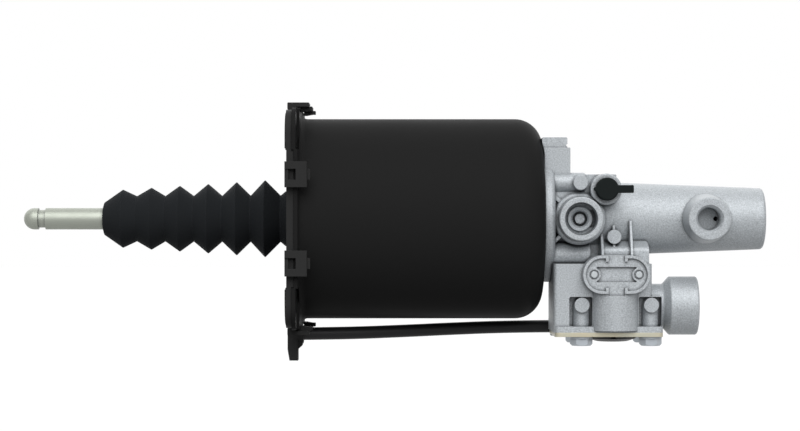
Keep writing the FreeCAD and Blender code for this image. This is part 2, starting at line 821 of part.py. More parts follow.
def pushrod():
    tip = Vector(-ROD_REACH + ROD_R, 0, 0)
    shaft = rod_x(ROD_R, tip.x, BALL_X)
    parts = [shaft, Part.makeSphere(ROD_R, tip), Part.makeSphere(BALL_R, Vector(BALL_X, 0, 0))]
    neck = ring_x(ROD_R + 1, ROD_NECK_R, -ROD_REACH + ROD_TIP, -ROD_REACH + ROD_TIP + ROD_NECK)
    return joined(parts).cut(neck)


def piston_groove(start, width, depth):
    outer = POT_BORE_R - PISTON_GAP
    return ring_x(outer + 1, outer - depth, start, start + width)


def band_start():
    return PISTON_FRONT + GROOVE_EDGE


def seal_start():
    return band_start() + BAND_WIDTH + GROOVE_EDGE


def piston_ribs():
    """Webs between the hub and the spring seat."""
    found = []
    for i in range(PISTON_RIBS):
        rib = block(WEB_BACK - 1, WEB_BACK + PISTON_RIB_HEIGHT, -PISTON_RIB_WIDTH / 2, PISTON_RIB_WIDTH / 2,
                    HUB_R - 1, SPRING_R - SPRING_WIRE_R - 2)
        rib.rotate(Vector(0, 0, 0), X_AXIS, 360 * i / PISTON_RIBS)
        found.append(rib)
    return found


def air_piston():
    outer = POT_BORE_R - PISTON_GAP
    end = PISTON_FRONT + PISTON_LENGTH
    cup = turned([
        (PISTON_FRONT, 0.0), (PISTON_FRONT, outer, EDGE), (end, outer), (end, outer - PISTON_RIM),
        (WEB_BACK, outer - PISTON_RIM, PISTON_FILLET), (WEB_BACK, HUB_R), (PISTON_FRONT + HUB_LENGTH, HUB_R),
        (PISTON_FRONT + HUB_LENGTH, 0.0)])
    body = cup.multiFuse(piston_ribs())
    ball = Part.makeSphere(BALL_R + FIT, Vector(BALL_X, 0, 0))
    mouth = rod_x(BALL_R + FIT, PISTON_FRONT - 1, BALL_X)
    clip_groove = rod_x(BALL_R + RETAINER_DEPTH, retainer_start(), retainer_start() + RETAINER_WIDTH)
    bore = rod_x(PLUNGER_R + FIT, PLUNGER_START, PISTON_FRONT + HUB_LENGTH + 1)
    grooves = [piston_groove(band_start(), BAND_WIDTH, BAND_DEPTH),
               piston_groove(seal_start(), SEAL_WIDTH, SEAL_DEPTH)]
    return body.cut([ball, mouth, clip_groove, bore] + grooves).removeSplitter()


def retainer_start():
    return PISTON_FRONT + RETAINER_SINK


def rod_retainer():
    """The split ring that keeps the ball of the pushrod in the piston."""
    start = retainer_start() + FIT
    end = start + RETAINER_WIDTH - 2 * FIT
    ring = ring_x(BALL_R + RETAINER_DEPTH - FIT, ROD_R + RETAINER_ROOM, start, end)
    half = RETAINER_SPLIT / 2
    gap = block(start - 1, start + RETAINER_WIDTH + 1, -half, half, 0.0, 2 * BALL_R)
    return ring.cut([gap, Part.makeSphere(BALL_R + FIT, Vector(BALL_X, 0, 0))])


def guide_band():
    start = band_start() + FIT
    inner = POT_BORE_R - PISTON_GAP - BAND_DEPTH + FIT
    return ring_x(POT_BORE_R - RUNNING, inner, start, start + BAND_WIDTH - 2 * FIT)


def piston_seal():
    """A lip ring that opens towards the air side."""
    start = seal_start() + FIT
    end = start + SEAL_WIDTH - 2 * FIT
    outer = POT_BORE_R - RUNNING
    inner = POT_BORE_R - PISTON_GAP - SEAL_DEPTH + FIT
    middle = (outer + inner) / 2
    return turned([
        (start, inner), (start, outer - SEAL_BACK), (end - SEAL_LIP_LENGTH, outer), (end, outer - SEAL_LIP),
        (end - SEAL_HOLLOW, middle), (end, inner + SEAL_LIP), (end, inner)])


def piston_spring():
    spring = coil(SPRING_R, SPRING_WIRE_R, WEB_BACK, POT_FLOOR, SPRING_TURNS)
    spring.rotate(Vector(0, 0, 0), Y_AXIS, 90)
    return spring


def plunger():
    return turned([(PLUNGER_START, 0.0), (PLUNGER_START, PLUNGER_R - EDGE), (PLUNGER_START + EDGE, PLUNGER_R),
                   (PLUNGER_END - PLUNGER_NOSE, PLUNGER_R), (PLUNGER_END, PLUNGER_R - PLUNGER_NOSE_SLANT),
                   (PLUNGER_END, 0.0)])


# Seal pack and the joint to the cylinder

def retaining_ring():
    start = PACK_START
    ring = ring_x(PACK_R + PACK_GROOVE - 2 * FIT, PLUNGER_R + PACK_RING, start, start + PACK_RING)
    return ring.cut(block(start - 1, start + 2 * PACK_RING, -RETAINER_SPLIT, RETAINER_SPLIT, 0.0, 2 * PACK_R))


def backing_ring():
    start = PACK_START + PACK_RING
    return ring_x(PACK_R - FIT, PLUNGER_R + HOLE_GAP, start, start + PACK_RING)


def plunger_seal():
    start = PACK_START + 2 * PACK_RING
    end = start + PACK_SEAL
    outer = PACK_R - FIT
    inner = PLUNGER_R + RUNNING
    middle = (outer + inner) / 2
    return turned([(start, inner + PACK_BACK), (start, outer), (end, outer), (end, outer - PACK_LIP),
                   (end - PACK_HOLLOW, middle), (end, inner + PACK_LIP), (end - PACK_LIP_EDGE, inner),
                   (end - PACK_LIP_LENGTH, inner)])


def plunger_guide():
    start = PACK_START + 2 * PACK_RING + PACK_SEAL
    return ring_x(PACK_R - FIT, PLUNGER_R + RUNNING, start, start + PACK_GUIDE)


def seat_gasket():
    sheet = ring_x(SEAT_R, SPIGOT_R + FIT, POT_END, SEAT_X)
    holes = [rod_x(M6_R + HOLE_GAP, POT_END - 1, SEAT_X + 1, y, z) for y, z in SCREW_PLACES]
    holes.append(rod_x(AIR_WAY_R, POT_END - 1, SEAT_X + 1, VALVE_Y, AIR_WAY_Z))
    return sheet.cut(holes)


def seat_screw(y, z):
    head = rod_x(SEAT_HEAD_R, POT_FLOOR - SEAT_HEAD, POT_FLOOR, y, z)
    head = head.makeChamfer(EDGE, [head.Edges[2]])
    shank = rod_x(M6_CORE_R - FIT, POT_FLOOR - 1, POT_FLOOR + SEAT_SCREW_LENGTH, y, z)
    angles = [math.radians(60 * i) for i in range(6)]
    drive = prism([(y + SEAT_DRIVE_R * math.cos(a), z + SEAT_DRIVE_R * math.sin(a)) for a in angles],
                  on_yz(POT_FLOOR - SEAT_HEAD - 1), Vector(SEAT_DRIVE + 1, 0, 0))
    return head.fuse(shank).cut(drive).removeSplitter()


def seat_screws():
    return Part.makeCompound([seat_screw(y, z) for y, z in SCREW_PLACES])


# Valve housing

def barrel():
    start = SEAT_X
    return turned([(start, 0.0), (start, BARREL_START_R), (BARREL_END, BARREL_END_R, BARREL_EDGE),
                   (BARREL_END, 0.0)])


def seat_flange():
    disc = turned([(SEAT_X, 0.0), (SEAT_X, SEAT_R), (SEAT_X + SEAT_THICKNESS, SEAT_R, SEAT_EDGE_R),
                   (SEAT_X + SEAT_THICKNESS, 0.0)])
    return disc.fuse(rod_x(SPIGOT_R, SPIGOT_FRONT, SEAT_X + 1))


def screw_bosses():
    found = []
    for y, z in SCREW_PLACES:
        radius, reach = (SEAT_BOSS_TOP_R, SEAT_BOSS_TOP) if z > 0 else (SEAT_BOSS_LOW_R, SEAT_BOSS_LOW)
        boss = rod_x(radius, SEAT_X, SEAT_X + SEAT_THICKNESS + reach, y, z)
        found.append(boss.makeFillet(EDGE_WIDE, [boss.Edges[0]]))
    return found


def ear():
    """The upright lug above the flange, shaped to the cylinder, with a set-back band along its top."""
    left = SEAT_X - EAR_OVERHANG
    right = SEAT_X + EAR_WIDTH
    foot = right + EAR_FOOT
    band_z = EAR_Z - EAR_BAND
    lug = prism(
        [(left, SHOULDER_Z), (left, EAR_Z, EDGE), (right, EAR_Z, EDGE), (right, band_z),
         (foot, band_z, EDGE_SHARP), (foot, 0.0), (SEAT_X, 0.0), (SEAT_X, SHOULDER_Z)],
        on_xz(FRONT_Y), Vector(0, BACK_Y - FRONT_Y, 0))
    step = block(left - 1, foot + 1, FRONT_Y - 1, FRONT_Y + EAR_STEP, band_z, EAR_Z + 1)
    notch = rod_y(EAR_NOTCH_R, FRONT_Y - 1, BACK_Y + 1, right, band_z + 2 * EAR_NOTCH_R)
    return lug.cut([step, notch, pot_room()])


def pot_room():
    """The outside of the cylinder's end, a gasket's thickness larger."""
    radius = POT_R + GASKET
    return turned([(0.0, 0.0), (0.0, radius), (SEAT_X, radius, POT_END_R + GASKET), (SEAT_X, 0.0)])


def shoulder():
    """The block behind the small bosses, whose upper half runs on behind the bleed boss."""
    end = SEAT_X + SHOULDER_LENGTH
    full_end = SEAT_X + SHOULDER_FULL
    points = [(SEAT_X, 0.0), (SEAT_X, SHOULDER_Z), (end, SHOULDER_Z, EDGE_SMALL), (end, BLEED_Z),
              (full_end, BLEED_Z), (full_end, 0.0)]
    return prism(points, on_xz(FRONT_Y), Vector(0, BACK_Y - FRONT_Y, 0))


def ring_gussets():
    """Slanting ribs between the ring boss and the flange."""
    found = []
    for side in (-1, 1):
        rib = block(RING_X - GUSSET_REACH, RING_X, GUSSET_Y, 0.0, -GUSSET_THICKNESS / 2, GUSSET_THICKNESS / 2)
        rib.rotate(Vector(RING_X, 0, 0), Y_AXIS, side * GUSSET_ANGLE)
        found.append(rib)
    return found


def ring_boss():
    base = rod_y(RING_BASE_R, RING_BASE_Y, 0.0, RING_X, 0.0)
    base = base.makeFillet(EDGE_BROAD, [base.Edges[2]])
    wall = rod_y(RING_R, RING_Y, 0.0, RING_X, 0.0)
    return base.fuse(wall.makeFillet(EDGE_SMALL, [wall.Edges[2]]))


def ring_recess():
    """The hollow round the nipple, the hole with a core in the nipple, and a slot in the hollow's floor."""
    floor = RING_Y + RING_RECESS
    hollow = rod_y(RING_RECESS_R, RING_Y - 1, floor, RING_X, 0.0)
    nipple = rod_y(NIPPLE_R, NIPPLE_Y, 0.0, RING_X, 0.0)
    hole = rod_y(NIPPLE_BORE_R, RING_Y - 1, NIPPLE_Y + NIPPLE_BORE, RING_X, 0.0)
    core = rod_y(NIPPLE_CORE_R, NIPPLE_Y + NIPPLE_CORE_SINK, NIPPLE_Y + NIPPLE_BORE + 1, RING_X, 0.0)
    sink = Part.makeCone(NIPPLE_BORE_R + NIPPLE_SINK, NIPPLE_BORE_R, NIPPLE_SINK,
                         Vector(RING_X, NIPPLE_Y, 0), Y_AXIS)
    crescent = rod_y(RING_RECESS_R, floor - 1, floor + CRESCENT_DEPTH, RING_X, 0.0).cut(
        rod_y(CRESCENT_R, floor - 2, floor + CRESCENT_DEPTH + 1, RING_X, 0.0))
    side = block(RING_X, RING_X + RING_R, floor - 1, floor + CRESCENT_DEPTH, -CRESCENT_HALF, CRESCENT_HALF)
    return hollow.cut(nipple).multiFuse([hole.cut(core), sink, crescent.common(side)])


def small_bosses():
    stub = rod_y(STUB_R, STUB_Y, 0.0, STUB_X, STUB_Z)
    bleed = rod_y(BLEED_BOSS_R, BLEED_BOSS_Y, 0.0, BLEED_X, BLEED_Z)
    fluid = Part.makeCone(FLUID_PORT_R, FLUID_PORT_BASE_R, -FLUID_PORT_Y,
                          Vector(FLUID_PORT_X, FLUID_PORT_Y, 0), Y_AXIS)
    return [stub.makeFillet(EDGE_SHARP, [stub.Edges[2]]), bleed.makeFillet(EDGE_SMALL, [bleed.Edges[2]]),
            fluid.makeFillet(EDGE, [fluid.Edges[2]])]


def foot_outline():
    return rectangle(FOOT_X, FOOT_END, BODY_FRONT - FOOT_MARGIN, BODY_BACK + FOOT_MARGIN, FOOT_CORNER_R)


def valve_block():
    height = Vector(0, 0, LOWER_TOP - BODY_FLOOR)
    main = prism(rectangle(BODY_X, BODY_END, BODY_FRONT, BODY_BACK, BODY_CORNER_R), on_xy(BODY_FLOOR),
                 Vector(0, 0, BODY_TOP - BODY_FLOOR))
    lower = prism(
        rectangle(BODY_X + LOWER_START, FOOT_END - LOWER_INSET, BODY_FRONT, BODY_BACK, BODY_CORNER_R),
        on_xy(BODY_FLOOR), height)
    foot = prism(foot_outline(), on_xy(BODY_FLOOR), Vector(0, 0, FOOT_THICKNESS))
    column = rod_z(COLUMN_R, BODY_FLOOR + 1, BODY_TOP - 1, VALVE_X, COLUMN_Y)
    bridge = prism(rectangle(SEAT_X, BODY_END, -BRIDGE_HALF, BACK_Y, BRIDGE_CORNER_R), on_xy(BODY_TOP - 1),
                   Vector(0, 0, 1 - BODY_TOP))
    return [main, lower, foot, column, bridge, saddle(), barrel_web()]


def saddle():
    """The rounded shoulder in front of the bridge, which slopes from the barrel to the oval pad."""
    start = SEAT_X + SADDLE_START
    end = BODY_END - SADDLE_INSET
    low = BODY_TOP - 1
    side = prism(
        [(SADDLE_ROOT_Y, low), (SADDLE_ROOT_Y, SADDLE_ROOT_Z), (SADDLE_Y, SADDLE_EDGE_Z, SADDLE_EDGE_R),
         (SADDLE_Y, low)],
        on_yz(start), Vector(end - start, 0, 0))
    front = prism([(start, low), (start, SADDLE_ROOT_Z), (end, SADDLE_ROOT_Z, SADDLE_END_R), (end, low)],
                  on_xz(SADDLE_Y - 1), Vector(0, 1 + SADDLE_ROOT_Y - SADDLE_Y, 0))
    return side.common(front)


def barrel_web():
    """The curved web in the corner between the bridge and the barrel."""
    under = BARREL_TAPER * (BODY_END - SEAT_X) - BARREL_START_R + WEB_RISE
    solid = block(BODY_END - 1, BODY_END + WEB_REACH, -WEB_HALF, WEB_HALF, under - WEB_REACH, 0.0)
    hollow = rod_y(WEB_REACH, -WEB_HALF - 1, WEB_HALF + 1, BODY_END + WEB_REACH, under - WEB_REACH)
    return solid.cut(hollow)


def pockets():
    """Lightening pockets in the front face, each with the column of a bolt left in it."""
    found = []
    for x in BOLT_COLUMNS:
        low = BODY_FLOOR + FOOT_THICKNESS
        y = VALVE_Y - BOLT_SPACING_Y / 2
        left = x - POCKET_WIDTH / 2 - POCKET_SHIFT
        hollow = prism(rectangle(left, left + POCKET_WIDTH, low, low + POCKET_HEIGHT, 1.0),
                       on_xz(BODY_FRONT - 2), Vector(0, POCKET_DEPTH + 2, 0))
        column = rod_z(BOLT_COLUMN_R, low - 1, BOLT_PAD_Z, x, y)
        pad = rod_y(BOLT_PAD_R, BODY_FRONT, BODY_FRONT + POCKET_DEPTH + 1, x, BOLT_PAD_Z)
        found.append(hollow.cut([column, pad]))
    return found


def oval_pad():
    outer = slot_outline(OVAL_LENGTH, OVAL_HEIGHT, VALVE_X, OVAL_Z)
    return prism(outer, on_xz(OVAL_Y), Vector(0, OVAL_DEPTH, 0))


def oval_cuts():
    """The sunk face inside the rim, the two gaps in the rim and the recess between the pins."""
    inner = slot_outline(OVAL_LENGTH - 2 * OVAL_RIM, OVAL_HEIGHT - 2 * OVAL_RIM, VALVE_X, OVAL_Z)
    half = OVAL_HEIGHT / 2
    hooks = []
    gaps = []
    for side in (-1, 1):
        for x in (VALVE_X - OVAL_GAP / 2 - OVAL_RIM, VALVE_X + OVAL_GAP / 2):
            low, high = sorted((OVAL_Z + side * (half - OVAL_HOOK), OVAL_Z + side * half))
            hooks.append(block(x, x + OVAL_RIM, OVAL_Y - 2, 0.0, low, high))
        low, high = sorted((OVAL_Z + side * (half - OVAL_HOOK), OVAL_Z + side * (half + 1)))
        gaps.append(block(VALVE_X - OVAL_GAP / 2, VALVE_X + OVAL_GAP / 2, OVAL_Y - 1, pad_face(), low, high))
    face = prism(inner, on_xz(OVAL_Y - 1), Vector(0, 1 + OVAL_RIM_STEP, 0)).cut(hooks)
    floor = pad_face() + RECESS_DEPTH
    recess = block(VALVE_X - RECESS_LENGTH / 2, VALVE_X + RECESS_LENGTH / 2, OVAL_Y - 1, floor,
                   OVAL_Z - RECESS_HEIGHT / 2, OVAL_Z + RECESS_HEIGHT / 2)
    rounds = [rod_y(PIN_BOSS_R, OVAL_Y - 2, 0.0, x, OVAL_Z) for x in pin_places()]
    return [face, recess.cut(rounds)] + gaps


def pin_places():
    return (VALVE_X - PIN_SPACING / 2, VALVE_X + PIN_SPACING / 2)


def pad_face():
    return OVAL_Y + OVAL_RIM_STEP


def pin_holes():
    """Each pin's hole, and the shallow ring sunk round it."""
    found = []
    for x in pin_places():
        found.append(rod_y(PIN_R + FIT, OVAL_Y - 1, pad_face() + PIN_LENGTH, x, OVAL_Z))
        found.append(rod_y(PIN_COLLAR_R, OVAL_Y - 1, pad_face() + PIN_SHORT, x, OVAL_Z))
    return found


def ribs():
    """Upright ribs between the barrel and the oval pad, and a round pad on the middle one."""
    found = []
    foot_z = OVAL_Z + OVAL_HEIGHT / 2 - OVAL_RIM
    stand = -BARREL_START_R - RIB_STAND
    for x, top in zip((VALVE_X - RIB_LEFT, VALVE_X, VALVE_X + RIB_RIGHT), RIB_TOPS):
        reach = RIB_FOOT_Y if x != VALVE_X else RIB_PAD_Y
        points = [(stand, top), (reach, foot_z), (reach, foot_z - OVAL_RIM), (RIB_ROOT_Y, foot_z - OVAL_RIM),
                  (RIB_ROOT_Y, top)]
        found.append(prism(points, on_yz(x - RIB_THICKNESS / 2), Vector(RIB_THICKNESS, 0, 0)))
    found.append(rod_y(RIB_PAD_R, RIB_PAD_Y, 0.0, VALVE_X, RIB_PAD_Z))
    return found


def air_port():
    start = BODY_END - AIR_CONE
    neck = FOOT_END + AIR_NECK
    shape = turned([(start, 0.0), (start, AIR_NECK_R), (neck, AIR_NECK_R, EDGE_BROAD),
                    (neck + AIR_CONE, AIR_PORT_R, EDGE), (AIR_PORT_END, AIR_PORT_R, EDGE_WIDE),
                    (AIR_PORT_END, 0.0)])
    shape.translate(Vector(0, VALVE_Y, AIR_PORT_Z))
    return shape


def hose_boss():
    """The rear boss that takes the breather hose, and its bridge to the valve body."""
    radius = HOSE_R + HOSE_BOSS_WALL
    end = HOSE_END_X + HOSE_BOSS_END
    boss = rod_x(radius, HOSE_BOSS_X, end, HOSE_END_Y, HOSE_END_Z)
    boss = boss.makeFillet(HOSE_BOSS_WALL / 2, [boss.Edges[2]])
    bridge = block(HOSE_BOSS_X + 1, end - 1, BODY_BACK - 2, HOSE_END_Y, BODY_FLOOR, HOSE_END_Z + radius)
    return [boss, bridge]


def bore_x(radius, x0, x1, chamfer, y, z):
    """A bore that opens at x1 with a chamfered mouth."""
    mouth = Part.makeCone(radius, radius + 2 * chamfer, 2 * chamfer, Vector(x1 - chamfer, y, z), X_AXIS)
    return [rod_x(radius, x0, x1 + 1, y, z), mouth]


def hydraulic_ways():
    way_x = FLUID_PORT_X + FLUID_BORE_R - FLUID_WAY_INSET * FLUID_WAY_R
    ways = [
        rod_x(PACK_R, SPIGOT_FRONT - 1, PACK_END),
        rod_x(PACK_R + PACK_GROOVE, PACK_START - FIT, PACK_START + PACK_RING + FIT),
        rod_x(CHAMBER_R, PACK_END - 1, CHAMBER_END),
        rod_y(FLUID_BORE_R, FLUID_PORT_Y - 1, FLUID_PORT_Y + FLUID_BORE_DEPTH, FLUID_PORT_X, 0.0),
        Part.makeCone(FLUID_BORE_R + 2 * PORT_CHAMFER, FLUID_BORE_R, 2 * PORT_CHAMFER,
                      Vector(FLUID_PORT_X, FLUID_PORT_Y - PORT_CHAMFER, 0), Y_AXIS),
        rod_y(FLUID_WAY_R, FLUID_PORT_Y + FLUID_BORE_DEPTH - 1, 0.0, way_x, 0.0),
        rod_y(BLEED_THREAD_R, BLEED_BOSS_Y - 1, BLEED_TIP, BLEED_X, BLEED_Z),
        rod_z(BLEED_WAY_R, CHAMBER_R / 2, BLEED_Z, BLEED_X, BLEED_TIP - 2 * BLEED_WAY_R),
        rod_z(CONTROL_BORE_R, UPPER_BORE_TOP - 1, CONTROL_BORE_TOP, VALVE_X, VALVE_Y),
        rod_z(CONTROL_WAY_R, CONTROL_BORE_TOP - 1, 0.0, VALVE_X, VALVE_Y),
    ]
    return ways


def air_ways():
    turn_x = VALVE_X - BOLT_SPACING_X / 2
    floor = AIR_PORT_END - AIR_BORE_DEPTH
    ways = bore_x(AIR_BORE_R, floor, AIR_PORT_END, PORT_CHAMFER, VALVE_Y, AIR_PORT_Z)
    middle = (SEPTUM_TOP + CONTROL_DISC_Z) / 2
    ways += [
        rod_x(AIR_FEED_R, VALVE_X, floor + 1, VALVE_Y, AIR_FEED_Z),
        rod_x(AIR_WAY_R, SEAT_X - 1, turn_x + AIR_WAY_R, VALVE_Y, AIR_WAY_Z),
        rod_z(AIR_TURN_SHARE * AIR_WAY_R, middle, AIR_WAY_Z, turn_x, VALVE_Y),
        rod_x(AIR_LINK_SHARE * AIR_WAY_R, turn_x, VALVE_X, VALVE_Y, middle),
        rod_z(LOWER_BORE_R, BODY_FLOOR - 1, SEPTUM_BOTTOM, VALVE_X, VALVE_Y),
        rod_z(SEAT_HOLE_R, SEPTUM_BOTTOM - 1, SEPTUM_TOP + 1, VALVE_X, VALVE_Y),
        rod_z(UPPER_BORE_R, SEPTUM_TOP, UPPER_BORE_TOP, VALVE_X, VALVE_Y),
    ]
    return ways


def housing_holes():
    holes = [rod_x(M6_CORE_R, SPIGOT_FRONT, POT_FLOOR + SEAT_SCREW_LENGTH + 1, y, z) for y, z in SCREW_PLACES]
    holes += [rod_z(M6_CORE_R, BODY_FLOOR - 1, plate_bolt_tip() + 1, x, y) for x, y in BOLT_PLACES]
    holes.append(rod_x(HOSE_R + FIT, HOSE_BOSS_X - 1, HOSE_END_X, HOSE_END_Y, HOSE_END_Z))
    return holes


def valve_housing():
    solids = [barrel(), seat_flange(), ear(), shoulder(), ring_boss(), oval_pad(), air_port()]
    solids += screw_bosses() + small_bosses() + ring_gussets() + ribs() + hose_boss()
    block_parts = valve_block()
    carved = block_parts[0].multiFuse(block_parts[1:]).cut(pockets())
    body = carved.multiFuse(solids)
    cuts = [ring_recess()] + oval_cuts() + pin_holes()
    cuts += hydraulic_ways() + air_ways() + housing_holes()
    return body.cut(cuts).removeSplitter()


# Small pieces on the housing

def pad_pins():
    pins = []
    for x in pin_places():
        pin = rod_y(PIN_R, pad_face() - PIN_RISE, pad_face() + PIN_LENGTH - PIN_SHORT, x, OVAL_Z)
        pins.append(pin.makeFillet(EDGE_FINE, [pin.Edges[2]]))
    return Part.makeCompound(pins)


def bleed_screw():
    top = BLEED_BOSS_Y
    hex_part = hexagon(BLEED_FLATS, 0.0, BLEED_HEX, 0.0, 0.0)
    hex_part.rotate(Vector(0, 0, 0), X_AXIS, 90)
    hex_part.translate(Vector(BLEED_X, top, BLEED_Z))
    nipple = rod_y(BLEED_NIPPLE_R, top - BLEED_HEX - BLEED_NIPPLE, top - 1, BLEED_X, BLEED_Z)
    nipple = nipple.makeChamfer(EDGE_SMALL, [nipple.Edges[2]])
    cone_y = BLEED_TIP - BLEED_CONE - STOP_GAP
    thread = rod_y(BLEED_THREAD_R - FIT, top - 1, cone_y, BLEED_X, BLEED_Z)
    tip = Part.makeCone(BLEED_THREAD_R - FIT, BLEED_CONE_R, BLEED_CONE,
                        Vector(BLEED_X, cone_y, BLEED_Z), Y_AXIS)
    hole = rod_y(BLEED_HOLE_R, top - BLEED_HEX - BLEED_NIPPLE - 1, cone_y - BLEED_CONE, BLEED_X, BLEED_Z)
    return joined([hex_part, nipple, thread, tip]).cut(hole)


def bleed_cap():
    """The rubber cap over the bleed screw, with its pull tab."""
    face = BLEED_BOSS_Y - CAP_LENGTH
    body = rod_y(CAP_R, face, BLEED_BOSS_Y - STOP_GAP, BLEED_X, BLEED_Z)
    body = body.makeFillet(EDGE, [body.Edges[2]])
    half = TAB_HEIGHT / 2
    tab = prism(rectangle(BLEED_X, BLEED_X + TAB_REACH, BLEED_Z - half, BLEED_Z + half, EDGE_SMALL),
                on_xz(face), Vector(0, TAB_THICKNESS, 0))
    nib = rod_y(NIB_R, face, face + TAB_THICKNESS, BLEED_X - CAP_R, BLEED_Z)
    hex_room = rod_y(BLEED_FLATS / math.sqrt(3) + FIT, BLEED_BOSS_Y - BLEED_HEX - FIT, BLEED_BOSS_Y + 1,
                     BLEED_X, BLEED_Z)
    nipple_room = rod_y(BLEED_NIPPLE_R + FIT, face + CAP_TOP - 4 * FIT, BLEED_BOSS_Y, BLEED_X, BLEED_Z)
    return joined([body, tab, nib]).cut([hex_room, nipple_room])


def bottom_plate():
    plate = prism(foot_outline(), on_xy(PLATE_BOTTOM), Vector(0, 0, PLATE_THICKNESS))
    holes = [rod_z(M6_R + HOLE_GAP, PLATE_BOTTOM - 1, BODY_FLOOR + 1, x, y) for x, y in BOLT_PLACES]
    holes.append(rod_z(PLATE_HOLE_R, PLATE_BOTTOM - 1, BODY_FLOOR + 1, VALVE_X, VALVE_Y))
    return plate.cut(holes)


def plate_washers():
    low = PLATE_BOTTOM - WASHER_THICKNESS
    return Part.makeCompound([
        rod_z(WASHER_R, low, PLATE_BOTTOM, x, y).cut(rod_z(M6_R + HOLE_GAP, low - 1, PLATE_BOTTOM + 1, x, y))
        for x, y in BOLT_PLACES])


def plate_bolt_tip():
    return PLATE_BOTTOM - WASHER_THICKNESS + BOLT_LENGTH


def plate_bolt(x, y):
    under = PLATE_BOTTOM - WASHER_THICKNESS
    head = hexagon(BOLT_FLATS, under - BOLT_HEAD, under, x, y)
    top_r = BOLT_FLATS / 2 - HEAD_CHAMFER
    cone = Part.makeCone(top_r, top_r + BOLT_HEAD * HEAD_SLOPE, BOLT_HEAD,
                         Vector(x, y, under - BOLT_HEAD), Z_AXIS)
    shank = rod_z(M6_CORE_R - FIT, under - 1, plate_bolt_tip(), x, y)
    return head.common(cone).fuse(shank).removeSplitter()


def plate_bolts():
    return Part.makeCompound([plate_bolt(x, y) for x, y in BOLT_PLACES])


def vent_cap():
    """The domed exhaust cap, pressed into the hole of the bottom plate."""
    top = PLATE_BOTTOM
    low = top - VENT_HEIGHT
    dome = turned_z([(0.0, low), (VENT_FLAT_R, low, VENT_ROUND_R), (VENT_R - VENT_EDGE, low + VENT_SIDE),
                     (VENT_R, top - VENT_EDGE), (VENT_R, top), (0.0, top)], VALVE_X, VALVE_Y)
    stem = rod_z(PLATE_HOLE_R - FIT, top - 1, BODY_FLOOR - VENT_SHORT, VALVE_X, VALVE_Y)
    slots = []
    for i in range(VENT_SLOTS):
        slot = block(VENT_SLOT_START, VENT_R + 1, -VENT_SLOT_WIDTH / 2, VENT_SLOT_WIDTH / 2,
                     top - VENT_EDGE - VENT_SLOT_DEPTH, top - VENT_SHORT)
        slot.rotate(Vector(0, 0, 0), Z_AXIS, 360 * (i + 0.5) / VENT_SLOTS)
        slot.translate(Vector(VALVE_X, VALVE_Y, 0))
        slots.append(slot)
    way = rod_z(INLET_TUBE_R + VENT_WAY_ROOM, top - VENT_SNAP, BODY_FLOOR + 1, VALVE_X, VALVE_Y)
    return dome.fuse(stem).cut(slots + [way]).removeSplitter()


# Relay valve

def inlet_valve():
    top = SEPTUM_BOTTOM
    low = BODY_FLOOR + INLET_TUBE_END - 1.0
    disc = turned_z([(INLET_TUBE_BORE_R, low), (INLET_TUBE_R, low), (INLET_TUBE_R, top - INLET_DISC),
                     (INLET_DISC_R, top - INLET_DISC), (INLET_DISC_R, top), (INLET_TUBE_BORE_R, top)],
                    VALVE_X, VALVE_Y)
    return disc


def valve_carrier():
    """The insert that guides the inlet valve and carries its spring."""
    top = BODY_FLOOR + CARRIER_HEIGHT
    bore = INLET_TUBE_R + RUNNING
    lip = bore + CARRIER_LIP_R
    outer = LOWER_BORE_R - FIT
    neck = LOWER_BORE_R - CARRIER_STEP
    return turned_z([(bore, BODY_FLOOR), (outer, BODY_FLOOR), (outer, top - CARRIER_NECK),
                     (neck, top - CARRIER_NECK), (neck, top), (lip, top), (lip, top + CARRIER_LIP),
                     (bore, top + CARRIER_LIP)], VALVE_X, VALVE_Y)


def inlet_spring():
    spring = coil(INLET_SPRING_R, INLET_WIRE_R, BODY_FLOOR + CARRIER_HEIGHT, SEPTUM_BOTTOM - INLET_DISC,
                  VALVE_SPRING_TURNS)
    spring.translate(Vector(VALVE_X, VALVE_Y, 0))
    return spring


def control_groove_places():
    disc_middle = CONTROL_DISC_Z + CONTROL_DISC / 2
    return [(UPPER_BORE_R, disc_middle), (CONTROL_BORE_R, CONTROL_STEM_TOP - CONTROL_RING_SET)]


def control_piston():
    """The stepped piston that weighs fluid pressure against air pressure."""
    low = SEPTUM_BOTTOM + EXHAUST_GAP
    disc_top = CONTROL_DISC_Z + CONTROL_DISC
    stem = CONTROL_BORE_R - RUNNING
    disc = UPPER_BORE_R - RUNNING
    body = turned_z([(0.0, low), (CONTROL_TUBE_R, low), (CONTROL_TUBE_R, CONTROL_DISC_Z),
                     (disc, CONTROL_DISC_Z), (disc, disc_top), (stem, disc_top), (stem, CONTROL_STEM_TOP),
                     (0.0, CONTROL_STEM_TOP)],
                    VALVE_X, VALVE_Y)
    hole = rod_z(CONTROL_TUBE_BORE_R, low - 1, disc_top + CONTROL_TUBE_DEPTH, VALVE_X, VALVE_Y)
    vents = rod_x(CONTROL_VENT_R, VALVE_X - CONTROL_BORE_R - 1, VALVE_X + CONTROL_BORE_R + 1, VALVE_Y,
                  disc_top + CONTROL_VENT_RISE)
    grooves = []
    for bore, z in control_groove_places():
        low, high = z - RING_GROOVE_HALF, z + RING_GROOVE_HALF
        core = rod_z(bore - RING_GROOVE_DEPTH, low - 1, high + 1, VALVE_X, VALVE_Y)
        grooves.append(rod_z(bore + 1, low, high, VALVE_X, VALVE_Y).cut(core))
    return body.cut([hole, vents] + grooves)


def control_rings():
    rings = []
    for bore, z in control_groove_places():
        mean = bore - RUNNING - RING_SEAL_R
        rings.append(Part.makeTorus(mean, RING_SEAL_R, Vector(VALVE_X, VALVE_Y, z), Z_AXIS))
    return Part.makeCompound(rings)


